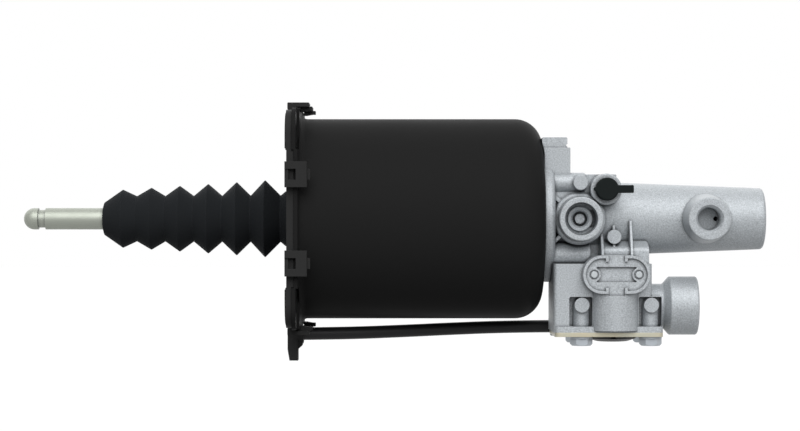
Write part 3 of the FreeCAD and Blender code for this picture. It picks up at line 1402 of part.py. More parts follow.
def control_spring():
    spring = coil(CONTROL_SPRING_R, CONTROL_WIRE_R, SEPTUM_TOP, CONTROL_DISC_Z, VALVE_SPRING_TURNS)
    spring.translate(Vector(VALVE_X, VALVE_Y, 0))
    return spring


# Breather hose

def hose_route():
    """Straight at both ends, and an even sweep to the back and up between them."""
    start = Vector(HOSE_START_X, 0, HOSE_START_Z)
    end = Vector(HOSE_END_X, HOSE_END_Y, HOSE_END_Z)
    leave = COVER_BACK + SOCKET_REACH + HOSE_R
    arrive = HOSE_END_X - HOSE_STRAIGHT
    points = [start]
    for i in range(HOSE_POINTS + 1):
        share = i / HOSE_POINTS
        swing = share * share * (3 - 2 * share)
        points.append(Vector(leave + (arrive - leave) * share, HOSE_END_Y * swing,
                             HOSE_START_Z + (HOSE_END_Z - HOSE_START_Z) * swing))
    return points + [end]


def breather_hose():
    points = hose_route()
    path, radii = smooth_path(points, HOSE_ARC_SHARE)
    tubes = [swept(path, points[0], points[1] - points[0], r) for r in (HOSE_R, HOSE_BORE_R)]
    hose = tubes[0].cut(tubes[1])
    area = math.pi * (HOSE_R ** 2 - HOSE_BORE_R ** 2)
    print("hose arc radii", ", ".join("%.0f" % r for r in radii))
    print("hose length %.1f mm, volume %.0f, section times length %.0f"
          % (path.Length, hose.Volume, area * path.Length))
    return hose


NODES = [
    cylinder_pot, end_cover, boot, seat_gasket, seat_screws, valve_housing, retaining_ring, backing_ring,
    plunger_seal, plunger_guide, piston_spring, pad_pins, bleed_screw, bleed_cap, bottom_plate, plate_washers,
    plate_bolts, vent_cap, breather_hose, valve_carrier, pushrod, rod_retainer, air_piston, piston_seal,
    guide_band, plunger, control_piston, control_rings, control_spring, inlet_valve, inlet_spring,
]

os.makedirs("parts", exist_ok=True)
for make in NODES:
    shape = make()
    if not shape.isValid():
        print("not valid:", make.__name__)
    shape.exportStep("parts/%s.step" % make.__name__)
    print("%-16s %2d solids %5d faces %9.0f mm3"
          % (make.__name__, len(shape.Solids), len(shape.Faces), shape.Volume))
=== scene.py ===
# %% [markdown]
# # A clutch servo on a white background
# A clutch servo helps the driver's foot: fluid from the pedal pushes a plunger, and a relay valve lets in
# air behind a large piston, so that the pushrod moves the release lever with more force. The metal and
# plastic pieces come as a finished frame of solids. Here they get a camera, light and materials, and the
# soft and fine pieces are modelled round them.

# %% Load the frame
import bpy
import json
import math
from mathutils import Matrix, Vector


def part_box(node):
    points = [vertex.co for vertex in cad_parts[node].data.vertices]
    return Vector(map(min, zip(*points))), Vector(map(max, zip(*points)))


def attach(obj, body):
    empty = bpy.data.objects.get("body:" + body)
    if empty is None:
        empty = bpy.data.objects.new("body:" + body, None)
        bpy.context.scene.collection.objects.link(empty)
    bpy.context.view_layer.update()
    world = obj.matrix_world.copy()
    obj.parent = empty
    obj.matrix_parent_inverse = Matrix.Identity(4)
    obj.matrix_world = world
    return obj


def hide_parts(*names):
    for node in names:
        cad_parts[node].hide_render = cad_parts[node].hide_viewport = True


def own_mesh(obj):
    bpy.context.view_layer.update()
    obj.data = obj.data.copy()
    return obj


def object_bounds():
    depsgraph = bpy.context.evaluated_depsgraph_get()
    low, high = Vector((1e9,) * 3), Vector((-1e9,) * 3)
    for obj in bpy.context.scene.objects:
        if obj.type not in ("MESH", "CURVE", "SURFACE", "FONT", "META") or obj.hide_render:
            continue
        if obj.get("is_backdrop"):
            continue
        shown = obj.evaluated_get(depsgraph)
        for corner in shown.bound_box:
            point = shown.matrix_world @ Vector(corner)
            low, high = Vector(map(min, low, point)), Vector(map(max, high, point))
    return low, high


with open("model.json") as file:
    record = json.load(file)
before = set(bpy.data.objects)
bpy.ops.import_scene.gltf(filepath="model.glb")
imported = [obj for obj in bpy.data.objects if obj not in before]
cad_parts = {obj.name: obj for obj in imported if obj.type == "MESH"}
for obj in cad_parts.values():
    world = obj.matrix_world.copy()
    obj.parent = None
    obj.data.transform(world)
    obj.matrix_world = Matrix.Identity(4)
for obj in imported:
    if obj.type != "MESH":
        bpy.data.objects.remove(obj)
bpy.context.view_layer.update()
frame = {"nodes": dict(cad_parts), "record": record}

bpy.context.scene.view_settings.view_transform = "Standard"
nodes = frame["nodes"]
MM = 0.001

# %% [markdown]
# ## Camera
# The photograph is a catalogue shot. The camera stands level with the pushrod's axis, about 1.2 m away,
# with a long lens, so that shapes near the frame's edge hardly lean. The distance comes from how much
# further the front bosses stand from the picture's middle than the pieces behind them.

# %% Camera
CAMERA_DISTANCE = 1.219
CAMERA_LENS = 105.0
CAMERA_SENSOR = 36.0
CAMERA_X = 0.0577
CAMERA_Z = 0.0017


def add_camera():
    bpy.ops.object.camera_add(location=(CAMERA_X, -CAMERA_DISTANCE, CAMERA_Z), rotation=(math.pi / 2, 0, 0))
    camera = bpy.context.object
    camera.name = "catalogue_camera"
    camera.data.lens = CAMERA_LENS
    camera.data.sensor_width = CAMERA_SENSOR
    bpy.context.scene.camera = camera
    return camera


print("camera:", add_camera().location)

# %% [markdown]
# ## Helpers for materials
# A colour is easiest to write as a hex value, as a paint chart gives it, but the shader works in linear
# light, so one function turns the first into the second. A second one adds a shader node with its
# settings, its socket values and its links, which keeps each material short enough to read. A third keeps
# each finished material under the name that the frame's record uses for it.

# %% Material helpers
FINISHES = {}


def linear(code):
    parts = [int(code[i:i + 2], 16) / 255 for i in (1, 3, 5)]
    return tuple(c / 12.92 if c <= 0.04045 else ((c + 0.055) / 1.055) ** 2.4 for c in parts) + (1.0,)


def add(tree, kind, settings=None, values=None, links=None):
    made = tree.nodes.new(kind)
    for name, value in (settings or {}).items():
        setattr(made, name, value)
    for name, value in (values or {}).items():
        made.inputs[name].default_value = value
    for name, source in (links or {}).items():
        tree.links.new(source, made.inputs[name])
    return made


def new_material(name, color, rough, metal=0.0, ior=None):
    material = bpy.data.materials.new(name)
    material.use_nodes = True
    shader = material.node_tree.nodes["Principled BSDF"]
    shader.inputs["Base Color"].default_value = linear(color)
    shader.inputs["Roughness"].default_value = rough
    shader.inputs["Metallic"].default_value = metal
    if ior:
        shader.inputs["IOR"].default_value = ior
    return material, material.node_tree, shader


def keep_finish(slot, material):
    FINISHES[slot] = material
    print(slot, "is", material.name, "with", len(material.node_tree.nodes), "shader nodes")


print("a mid grey in linear light:", [round(v, 3) for v in linear("#808080")])

# %% [markdown]
# ## Grit, and edges that catch the light
# A grain is a noise whose cells have a real width. No cast or pressed edge is truly sharp. The solids have
# many small edges, and rounding each would make a heavy mesh, so the shader rounds the normal within a set
# radius of every edge instead. A bump for the surface's own grit then goes on top of that rounded normal.

# %% Grain, rounded edges and grit
EVEN = (1.0, 1.0, 1.0)
EDGE_SAMPLES = 6


def grain(tree, size_mm, detail=2.0, stretch=EVEN):
    """Noise whose cells are about this many millimetres wide, on the piece's own coordinates."""
    place = add(tree, "ShaderNodeTexCoord")
    turned = add(tree, "ShaderNodeMapping", values={"Scale": stretch},
                 links={"Vector": place.outputs["Object"]})
    return add(tree, "ShaderNodeTexNoise", values={"Scale": 1 / (size_mm * MM), "Detail": detail},
               links={"Vector": turned.outputs["Vector"]})


def worn_normal(tree, edge_mm, height_mm, source):
    """The normal of a surface with softened edges and this grit's height."""
    rounded_edge = add(tree, "ShaderNodeBevel", {"samples": EDGE_SAMPLES}, {"Radius": edge_mm * MM})
    bump = add(tree, "ShaderNodeBump", values={"Distance": height_mm * MM},
               links={"Height": source.outputs["Fac"], "Normal": rounded_edge.outputs["Normal"]})
    return bump.outputs["Normal"]


def gloss_range(tree, source, low, high):
    """A roughness that drifts between two values with this grain."""
    drift = add(tree, "ShaderNodeMapRange", values={"To Min": low, "To Max": high},
                links={"Value": source.outputs["Fac"]})
    return drift.outputs["Result"]


def feed(tree, shader, **sources):
    """Links outputs to the shader's sockets: base_color feeds Base Color, and so on."""
    for name, source in sources.items():
        tree.links.new(source, shader.inputs[name.replace("_", " ").title()])


# %% [markdown]
# ## Cast aluminium
# The housing is pressure die cast and then shot blasted. Blasting leaves a fine even grit that turns a
# mirror into a soft sheen with a pale grey colour. Shade is painted into that colour as well: it goes
# darker where walls stand close round a spot, in the hollows and along inner edges. The real grit is about
# 0.4 mm from crest to crest, less than a pixel of the picture, so it is drawn half as coarse again.

# %% Cast aluminium
CAST_GRIT = 0.6
HOLLOW_REACH = 1.8
HOLLOW_SAMPLES = 6
HOLLOW_SHUT, HOLLOW_OPEN = 0.4, 0.95
HOLLOW_DARKEST = 0.25


def painted_hollow_shade(tree):
    """Painted shade: one in the open, and down to the darkest value where walls stand close round a spot."""
    openness = add(tree, "ShaderNodeAmbientOcclusion", {"samples": HOLLOW_SAMPLES},
                   {"Distance": HOLLOW_REACH * MM})
    depth = add(tree, "ShaderNodeMapRange", values={"From Min": HOLLOW_SHUT, "From Max": HOLLOW_OPEN,
                                                    "To Min": HOLLOW_DARKEST, "To Max": 1.0},
                links={"Value": openness.outputs["AO"]})
    return depth.outputs["Result"]


def cast_aluminium():
    material, tree, shader = new_material("die_cast_aluminium", "#9CA1A5", rough=0.5, metal=0.25)
    grit = grain(tree, CAST_GRIT)
    speckle = add(tree, "ShaderNodeMix", {"data_type": "RGBA"}, {6: linear("#6B7074"), 7: linear("#D2D7DB")},
                  {0: grit.outputs["Fac"]})
    # The grit's colour is multiplied by painted shade, darker where walls stand close.
    shaded = add(tree, "ShaderNodeMix", {"data_type": "RGBA", "blend_type": "MULTIPLY"}, {0: 1.0},
                 {6: speckle.outputs[2], 7: painted_hollow_shade(tree)})
    feed(tree, shader, base_color=shaded.outputs[2], roughness=gloss_range(tree, grit, low=0.42, high=0.58),
         normal=worn_normal(tree, edge_mm=0.3, height_mm=0.05, source=grit))
    return material


keep_finish("cast_aluminium", cast_aluminium())

# %% [markdown]
# ## Turned aluminium
# The two pistons, the pins in the oval pad and the ports' threads are cut by a tool. It leaves fine lines
# round the piece, about 0.1 mm apart, so the grain is squeezed along the rod's axis and drawn out across
# it. From here the eye sees no single line, only a highlight that is spread a little.

# %% Turned aluminium
TURNED_LINES = (3.0, 0.3, 0.3)


def turned_aluminium():
    material, tree, shader = new_material("turned_aluminium", "#B2B7BA", rough=0.36, metal=0.5)
    lines = grain(tree, 0.3, 1.0, stretch=TURNED_LINES)
    feed(tree, shader, normal=worn_normal(tree, edge_mm=0.3, height_mm=0.008, source=lines))
    return material


for slot in ("pin_aluminium", "machined_aluminium"):
    keep_finish(slot, turned_aluminium())

# %% [markdown]
# ## Black paint on drawn steel
# The cylinder is deep drawn from sheet and coated with a satin black electrophoretic paint. The film is
# thin and level, so only a very slight waviness shows, about 3 mm wide, in its soft highlights. The gloss
# itself drifts over some 30 mm, as the film's thickness does.

# %% Black paint
PAINT_WAVES = 2.6
PAINT_DRIFT = 30.0


def black_paint():
    material, tree, shader = new_material("satin_black_paint", "#232323", rough=0.46, ior=1.05)
    feed(tree, shader, roughness=gloss_range(tree, grain(tree, PAINT_DRIFT), low=0.42, high=0.5),
         normal=worn_normal(tree, edge_mm=0.4, height_mm=0.006, source=grain(tree, PAINT_WAVES, 1.0)))
    return material


keep_finish("pot_paint", black_paint())

# %% [markdown]
# ## Moulded plastics and rubber
# Glass-filled nylon, the cover's plastic, leaves the mould with a fine spark-eroded texture. The boot and
# the bleed cap are rubber with carbon black in it, so they are matt and nearly black. The hose is
# extruded, so its skin is smoother and glossier than the moulded pieces. The gloss of each drifts a little
# over some 12 mm. The textures are really about 0.1 mm wide, too fine for the picture, so they are drawn
# 0.5 to 0.8 mm wide.

# %% Plastics and rubber
MOULD_DRIFT = 12.0


def moulded(name, color, rough, grit_mm, height_mm, edge_mm, ior=1.45):
    material, tree, shader = new_material(name, color, rough, ior=ior)
    drift = grain(tree, MOULD_DRIFT)
    feed(tree, shader, roughness=gloss_range(tree, drift, low=rough - 0.05, high=rough + 0.06),
         normal=worn_normal(tree, edge_mm, height_mm, grain(tree, grit_mm)))
    return material


# After name and colour: roughness, width and height of the grit and radius of the edges in mm, and IOR
keep_finish("cover_plastic", moulded("glass_filled_nylon", "#303030", 0.5, 0.7, 0.02, 0.4, ior=1.1))
keep_finish("boot_rubber", moulded("bellows_rubber", "#232527", 0.7, 0.5, 0.015, 0.3, ior=1.1))
keep_finish("gasket_sheet", moulded("gasket_sheet", "#2A2A2A", 0.7, 0.8, 0.02, 0.1))
keep_finish("seal_plastic", moulded("bearing_plastic", "#CFC8B4", 0.5, 0.6, 0.01, 0.2))
keep_finish("seal_rubber", moulded("nitrile_rubber", "#161616", 0.5, 0.5, 0.008, 0.2))
keep_finish("cap_rubber", moulded("cap_rubber", "#1D2121", 0.6, 0.5, 0.012, 0.5, ior=1.12))
keep_finish("vent_plastic", moulded("vent_plastic", "#262626", 0.42, 0.6, 0.012, 0.3, ior=1.3))
keep_finish("hose_rubber", moulded("extruded_hose_rubber", "#242425", 0.42, 0.5, 0.006, 0.3, ior=1.25))

# %% [markdown]
# ## Plated, ground and turned metal
# The pushrod is turned on a lathe, so fine lines run round it, about 0.12 mm apart, and then plated with
# clear zinc. The bolts have the same plating. Shade is painted into the colour in the corners, where it
# goes to a dark grey. The springs, the chromed plunger and the brass inlet valve are metal as well and
# take the same recipe, painted corner shade included, with their own colour and gloss. The valve stands
# upright, so its lines run round that axis.

# %% Plated, ground and turned metal
ROUND_THE_ROD = (4.0, 0.2, 0.2)
ROUND_THE_VALVE = (1.0, 1.0, 4.0)
PLATED_METAL = 0.7
PLATING_DRIFT = 6.0
LATHE_GRAIN = 0.5
CORNER_REACH = 2.0


def clean_metal(name, color, rough, stretch=EVEN):
    material, tree, shader = new_material(name, color, rough, metal=PLATED_METAL)
    openness = add(tree, "ShaderNodeAmbientOcclusion", {"samples": HOLLOW_SAMPLES},
                   {"Distance": CORNER_REACH * MM})
    # Painted shade: the colour goes to a dark grey where walls stand close, in the corners.
    painted_corner_shade = add(tree, "ShaderNodeMix", {"data_type": "RGBA"}, {6: linear("#4A4B4C"), 7: linear(color)},
                 {0: openness.outputs["AO"]})
    drift = grain(tree, PLATING_DRIFT)
    feed(tree, shader, base_color=painted_corner_shade.outputs[2],
         roughness=gloss_range(tree, drift, low=rough - 0.06, high=rough + 0.08),
         normal=worn_normal(tree, edge_mm=0.3, height_mm=0.01,
                            source=grain(tree, LATHE_GRAIN, stretch=stretch)))
    return material


keep_finish("zinc_steel", clean_metal("clear_zinc_plate", "#A9AFB5", 0.3))
keep_finish("spring_steel", clean_metal("spring_steel", "#6E7072", 0.36))
keep_finish("rod_steel", clean_metal("turned_rod_steel", "#989C93", 0.46, ROUND_THE_ROD))
keep_finish("chromed_steel", clean_metal("ground_hard_chrome", "#C9CBCE", 0.14, ROUND_THE_ROD))
keep_finish("valve_brass", clean_metal("turned_brass", "#C8A860", 0.28, ROUND_THE_VALVE))

# %% [markdown]
# ## Yellow zinc
# The bottom plate's zinc is passivated yellow. The film is thin enough to show a faint rainbow, which
# drifts between straw and pale green over a centimetre or so.

# %% Yellow zinc
RAINBOW_DRIFT = 11.0
PLATE_GRAIN = 0.8


def yellow_zinc():
    material, tree, shader = new_material("yellow_zinc_plate", "#B5AF9C", rough=0.34, metal=0.5)
    drift = grain(tree, RAINBOW_DRIFT, 3.0)
    tint = add(tree, "ShaderNodeMix", {"data_type": "RGBA"}, {6: linear("#C0B292"), 7: linear("#AEB2A8")},
               {0: drift.outputs["Fac"]})
    feed(tree, shader, base_color=tint.outputs[2],
         normal=worn_normal(tree, edge_mm=0.3, height_mm=0.006, source=grain(tree, PLATE_GRAIN)))
    return material


keep_finish("yellow_zinc", yellow_zinc())

# %% [markdown]
# ## Dressing the solids
# Each solid names its finish in the record. A loop gives every solid its own, so that one that is seen
# only when the servo is taken apart gets its finish as well.

# %% Give each solid its material
def dress(piece, finish):
    piece.data.materials.clear()
    piece.data.materials.append(FINISHES[finish])


for part in frame["record"]["subparts"]:
    dress(nodes[part["node"]], part["material_slot"])

# %% [markdown]
# ## Stage and light
# The background of a catalogue picture is pure white, and it stays white where metal mirrors it. So the
# floor and the sky show white to the camera and to mirrored rays, while the light on the object stays
# plain: a dim even sky, one broad lamp high in front, and a weaker one behind for the far side. The lamps
# are suns with wide discs, because their light is equally strong all over the floor, which keeps a soft
# shadow.

# %% What counts as background
def background_rays(tree):
    """One for a ray that shows the background: from the camera, mirrored, or passed through glass."""
    rays = add(tree, "ShaderNodeLightPath")
    seen = rays.outputs["Is Camera Ray"]
    for kind in ("Is Glossy Ray", "Is Transmission Ray"):
        either = add(tree, "ShaderNodeMath", {"operation": "MAXIMUM"}, links={0: seen, 1: rays.outputs[kind]})
        seen = either.outputs[0]
    return seen


# %% Floor
FLOOR_Z = -0.16
FLOOR_SIZE = 12.0
FLOOR_LIFT = 0.71


def add_floor():
    bpy.ops.object.select_all(action="DESELECT")
    bpy.ops.mesh.primitive_plane_add(size=FLOOR_SIZE, location=(0, 0, FLOOR_Z))
    floor = bpy.context.object
    floor.name = "studio_floor"
    material, tree, shader = new_material("studio_floor", "#8C8C8C", rough=0.9, ior=1.1)
    lift = add(tree, "ShaderNodeMath", {"operation": "MULTIPLY"}, {1: FLOOR_LIFT},
               {0: background_rays(tree)})
    white = add(tree, "ShaderNodeEmission", links={"Strength": lift.outputs[0]})
    both = add(tree, "ShaderNodeAddShader", links={0: shader.outputs[0], 1: white.outputs[0]})
    tree.links.new(both.outputs[0], tree.nodes["Material Output"].inputs["Surface"])
    floor.data.materials.append(material)
    floor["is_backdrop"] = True
    return floor


print("floor:", add_floor().name)

# %% Sky
SKY_LIGHT = 0.33


def add_sky():
    world = bpy.data.worlds.new("studio_sky")
    bpy.context.scene.world = world
    world.use_nodes = True
    tree = world.node_tree
    tree.nodes.clear()
    sky = add(tree, "ShaderNodeBackground", values={"Color": linear("#FFFFFF"), "Strength": SKY_LIGHT})
    white = add(tree, "ShaderNodeBackground", values={"Color": linear("#FFFFFF"), "Strength": 1.0})
    both = add(tree, "ShaderNodeMixShader",
               links={0: background_rays(tree), 1: sky.outputs[0], 2: white.outputs[0]})
    add(tree, "ShaderNodeOutputWorld", links={"Surface": both.outputs[0]})


add_sky()
print("sky:", SKY_LIGHT)


# %% Lamps
def add_lamp(name, place, strength, disc):
    bpy.ops.object.light_add(type="SUN", location=place)
    lamp = bpy.context.object
    lamp.name = name
    lamp.data.energy = strength
    lamp.data.angle = math.radians(disc)
    lamp.rotation_euler = (-place).to_track_quat("-Z", "Y").to_euler()
    return lamp


front_lamp = add_lamp("front_lamp", Vector((0.08, -1.12, 0.95)), strength=2.6, disc=60.0)
back_lamp = add_lamp("back_lamp", Vector((-0.3, 1.1, 0.85)), strength=1.3, disc=90.0)
print("lamps:", front_lamp.data.energy, back_lamp.data.energy)

# %% [markdown]
# ## Measuring the frame
# The new pieces have to meet the finished solids, so their ends come from the solids' own boxes. The
# ports' places and bores, and how far each joint travels, stand in the record that comes with the frame.

# %% Measure the frame
def box_mm(node):
    """The two corners of a solid's box in millimetres, to a tenth."""
    return [[round(value / MM, 1) for value in corner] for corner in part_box(node)]


ports = {mount["name"]: mount for mount in frame["record"]["mounts"]}

# %% [markdown]
# ## The rubber boot
# The boot is a moulded bellows with six sharp convolutions that grow towards the cover. Its skin is a
# surface of revolution. A spin would do it too, but ring by ring it stays easy to follow: a circle is
# added at the nose and extruded along the profile, each new ring moved along the rod and resized, as one
# would by hand. Small rounds at the crests and roots come from extra rings near them.

# %% A helper that extrudes a ring along a profile
def lathe_x(name, profile, steps):
    """Extrudes a circle along (x, radius) points in millimetres; the last ring is joined to the first."""
    bpy.ops.object.select_all(action="DESELECT")
    x, radius = profile[0]
    bpy.ops.mesh.primitive_circle_add(vertices=steps, radius=radius * MM, location=(x * MM, 0, 0),
                                      rotation=(0, math.pi / 2, 0))
    piece = bpy.context.object
    piece.name = name
    bpy.ops.object.transform_apply(location=True, rotation=True, scale=True)
    bpy.ops.object.mode_set(mode="EDIT")
    bpy.ops.mesh.select_all(action="SELECT")
    for next_x, next_r in profile[1:]:
        bpy.ops.mesh.extrude_region_move(TRANSFORM_OT_translate={"value": ((next_x - x) * MM, 0, 0)})
        ratio = next_r / radius
        bpy.ops.transform.resize(value=(1, ratio, ratio), center_override=(next_x * MM, 0, 0))
        x, radius = next_x, next_r
    bpy.ops.mesh.select_all(action="DESELECT")
    bpy.ops.mesh.select_mode(type="EDGE")
    bpy.ops.mesh.select_non_manifold()
    bpy.ops.mesh.bridge_edge_loops()
    bpy.ops.mesh.select_all(action="SELECT")
    bpy.ops.mesh.normals_make_consistent(inside=False)
    bpy.ops.object.mode_set(mode="OBJECT")
    return piece


# %% A helper that rounds a profile's corners
LONGEST_ROUND = 0.45


def rounded(points, radius, steps):
    """Replaces each inner corner of an open line of (x, r) points with a short arc."""
    line = [Vector(p) for p in points]
    result = [line[0]]
    for before, at, after in zip(line, line[1:], line[2:]):
        back = (before - at).normalized()
        ahead = (after - at).normalized()
        reach = min(radius / math.tan(back.angle(ahead) / 2), LONGEST_ROUND * (before - at).length,
                    LONGEST_ROUND * (after - at).length)
        a, b = at + back * reach, at + ahead * reach
        for i in range(steps + 1):
            t = i / steps
            result.append(a * (1 - t) ** 2 + at * 2 * t * (1 - t) + b * t ** 2)
    result.append(line[-1])
    return [(p.x, p.y) for p in result]


corner = [(0.0, 0.0), (10.0, 0.0), (10.0, 10.0)]
print("a square corner becomes", len(rounded(corner, 1.0, 4)), "points")

# %% The boot's convolutions
boot_low, boot_high = box_mm("boot")
BOOT_FRONT = boot_low[0]
BOOT_END = boot_high[0]
LARGEST_RIDGE_R = boot_high[1]
RIDGE_GROWTH = 1.0
BOOT_RIDGES = 6
BOOT_PITCH = 14.84
BOOT_LAST_RIDGE = -12.7
ROOT_R = 11.8
ROOT_GROWTH = 0.06
ROOT_STEP = 7.3
LAST_ROOT_STEP = 8.1
BOOT_WALL = 1.4


def bellows(wall):
    """The ridges and roots from the nose to the cover, this far inside the outer skin."""
    points = []
    for i in range(BOOT_RIDGES):
        still_to_come = BOOT_RIDGES - 1 - i
        x = BOOT_LAST_RIDGE - BOOT_PITCH * still_to_come
        step = ROOT_STEP if still_to_come else LAST_ROOT_STEP
        points.append((x, LARGEST_RIDGE_R - RIDGE_GROWTH * still_to_come - wall))
        points.append((x + step, ROOT_R + ROOT_GROWTH * i - wall))
    return points


print("first ridge:", bellows(0.0)[0], "last root:", bellows(0.0)[-1])

# %% The boot
ROD_R = 5.65
NOSE_GRIP = 4.0
NOSE_CHAMFER = 0.6
NOSE_R = 6.6
NOSE_SHOULDER_R = 8.5
BOOT_SEAT = 0.9
COVER_BACK = 4.6
FLARE_LENGTH = 3.0
FLARE_R = 14.3
FLANGE_R = 14.6
NECK_R = 12.4
BARB_R = 14.0
MOUTH_R = 11.0
BOOT_SIDES = 96
BOOT_CREASE = 35


def boot_profile():
    """The outer skin from the nose to the barb behind the cover, and the inner skin back again."""
    nose = [(BOOT_FRONT, ROD_R), (BOOT_FRONT, NOSE_R), (BOOT_FRONT + NOSE_CHAMFER, NOSE_SHOULDER_R)]
    flange = [(BOOT_SEAT - FLARE_LENGTH, FLARE_R), (BOOT_SEAT, FLANGE_R), (BOOT_SEAT, NECK_R)]
    barb = [(COVER_BACK, NECK_R), (COVER_BACK, BARB_R), (BOOT_END, NECK_R), (BOOT_END, MOUTH_R)]
    outer = nose + bellows(0.0) + flange + barb
    bore = [(BOOT_FRONT + NOSE_GRIP, ROD_R), (BOOT_FRONT, ROD_R)]
    inner = [(BOOT_END, MOUTH_R)] + bellows(BOOT_WALL)[::-1] + bore
    return rounded(outer, radius=0.45, steps=4) + rounded(inner, radius=1.0, steps=3)[1:-1]


def rubber_boot():
    boot = lathe_x("rubber_boot", boot_profile(), BOOT_SIDES)
    bpy.ops.object.shade_smooth_by_angle(angle=math.radians(BOOT_CREASE))
    dress(boot, "boot_rubber")
    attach(boot, "servo_body")
    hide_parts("boot")
    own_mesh(boot)
    return boot


print("boot faces:", len(rubber_boot().data.polygons))

# %% [markdown]
# ## Winding an outline
# Springs and threads are both an outline that runs along a helix. The Screw modifier winds it: each turn
# goes once round the axis through the origin and rises by a set amount. The two open ends then get a face
# each, because a piece of wire or a tooth is closed all round.

# %% Wind an outline, and close its ends
WIND_STEPS = 40


def wound(outline, axis, rise, turns):
    """Runs the outline round an axis through the origin, rising this many millimetres each turn."""
    bpy.ops.object.transform_apply(location=True, rotation=True, scale=True)
    bpy.ops.object.modifier_add(type="SCREW")
    screw = outline.modifiers[-1]
    screw.axis = axis
    screw.angle = 2 * math.pi
    screw.screw_offset = rise * MM
    screw.iterations = turns
    screw.steps = WIND_STEPS
    screw.render_steps = WIND_STEPS
    bpy.ops.object.modifier_apply(modifier=screw.name)
    return outline


def close_ends(crease):
    """Puts a face on each open end and turns all faces outwards; edges past the crease angle stay sharp."""
    bpy.ops.object.mode_set(mode="EDIT")
    bpy.ops.mesh.select_all(action="DESELECT")
    bpy.ops.mesh.select_mode(type="EDGE")
    bpy.ops.mesh.select_non_manifold()
    bpy.ops.mesh.edge_face_add()
    bpy.ops.mesh.select_all(action="SELECT")
    bpy.ops.mesh.normals_make_consistent(inside=False)
    bpy.ops.object.mode_set(mode="OBJECT")
    bpy.ops.object.shade_smooth_by_angle(angle=math.radians(crease))


# %% [markdown]
# ## Coil springs
# A spring is one round wire on a helix, and its last coil at each end lies flat against the seat. A
# circle of the wire's size is wound three times: one turn with hardly any rise, the working turns, and
# one flat turn again. Whole turns start and end at the same angle, so the three runs meet, and their
# doubles are merged. A curve with a bevel would be quicker, but its end coils are harder to lay flat.

# %% A helper for one spring
WIRE_SIDES = 12
FLAT_RISE = 2.2
MERGE_REACH = 0.01
WIRE_CREASE = 50


def wire_run(axis, mean_r, wire_r, start, rise, turns):
    """A stretch of round wire on a helix; the place in its turn is the same at both ends."""
    bpy.ops.object.select_all(action="DESELECT")
    place = (start, 0, mean_r) if axis == "X" else (mean_r, 0, start)
    bpy.ops.mesh.primitive_circle_add(vertices=WIRE_SIDES, radius=wire_r * MM,
                                      location=[v * MM for v in place], rotation=(math.pi / 2, 0, 0))
    return wound(bpy.context.object, axis, rise, turns)


def coil_spring(name, axis, mean_r, wire_r, low, high, turns, center):
    """A spring between two seats; each flat end coil rises by a little more than the wire's thickness."""
    flat = FLAT_RISE * wire_r
    start, end = low + wire_r, high - wire_r
    pitch = (end - start - 2 * flat) / (turns - 2)
    runs = [wire_run(axis, mean_r, wire_r, start, flat, 1),
            wire_run(axis, mean_r, wire_r, start + flat, pitch, turns - 2),
            wire_run(axis, mean_r, wire_r, end - flat, flat, 1)]
    bpy.ops.object.select_all(action="DESELECT")
    for run in runs:
        run.select_set(True)
    spring = runs[0]
    bpy.context.view_layer.objects.active = spring
    bpy.ops.object.join()
    spring.name = name
    spring.location = [v * MM for v in center]
    bpy.ops.object.transform_apply(location=True, rotation=True, scale=True)
    bpy.ops.object.mode_set(mode="EDIT")
    bpy.ops.mesh.select_all(action="SELECT")
    bpy.ops.mesh.remove_doubles(threshold=MERGE_REACH * MM)
    bpy.ops.object.mode_set(mode="OBJECT")
    close_ends(WIRE_CREASE)
    dress(spring, "spring_steel")
    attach(spring, "servo_body")
    return spring


# %% [markdown]
# ## The three springs
# The large one in the cylinder keeps the piston against the pushrod. The two small ones stand one above
# the other in the relay valve. Each reaches from seat to seat, as the solid that it replaces does.

# %% The three springs
def spring_ends(node, axis):
    """Where the solid's spring starts and ends along its axis."""
    side = "XYZ".index(axis)
    low, high = box_mm(node)
    return low[side], high[side]


valve_low, valve_high = box_mm("control_piston")
VALVE_X = (valve_low[0] + valve_high[0]) / 2
VALVE_Y = (valve_low[1] + valve_high[1]) / 2

low, high = spring_ends("piston_spring", "X")
preload = coil_spring("preload_coil", "X", mean_r=36.0, wire_r=1.7, low=low, high=high, turns=6,
                      center=(0, 0, 0))
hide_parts("piston_spring")
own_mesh(preload)

low, high = spring_ends("control_spring", "Z")
upper = coil_spring("control_coil", "Z", mean_r=7.6, wire_r=0.45, low=low, high=high, turns=4,
                    center=(VALVE_X, VALVE_Y, 0))
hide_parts("control_spring")
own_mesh(upper)

low, high = spring_ends("inlet_spring", "Z")
lower = coil_spring("inlet_coil", "Z", mean_r=6.2, wire_r=0.4, low=low, high=high, turns=4,
                    center=(VALVE_X, VALVE_Y, 0))
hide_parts("inlet_spring")
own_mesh(lower)
print("spring faces:", [len(piece.data.polygons) for piece in (preload, upper, lower)])

# %% [markdown]
# ## Threads in the ports
# The two ports are tapped for a brake-pipe nut and for an air fitting. A thread is a small tooth on a
# helix, and a bump would leave the bore's edge smooth, so the tooth is wound as a piece of its own. A
# circle with three corners is a triangle, drawn out to the tooth's width and depth, with its base just
# inside the wall of the bore and its point towards the axis.

# %% Port threads
THREAD_PITCH = 1.5
TOOTH_HEIGHT = 0.5
TOOTH_WIDTH = 0.9 * THREAD_PITCH
TOOTH_ROOT = 0.05
TOOTH_CREASE = 40


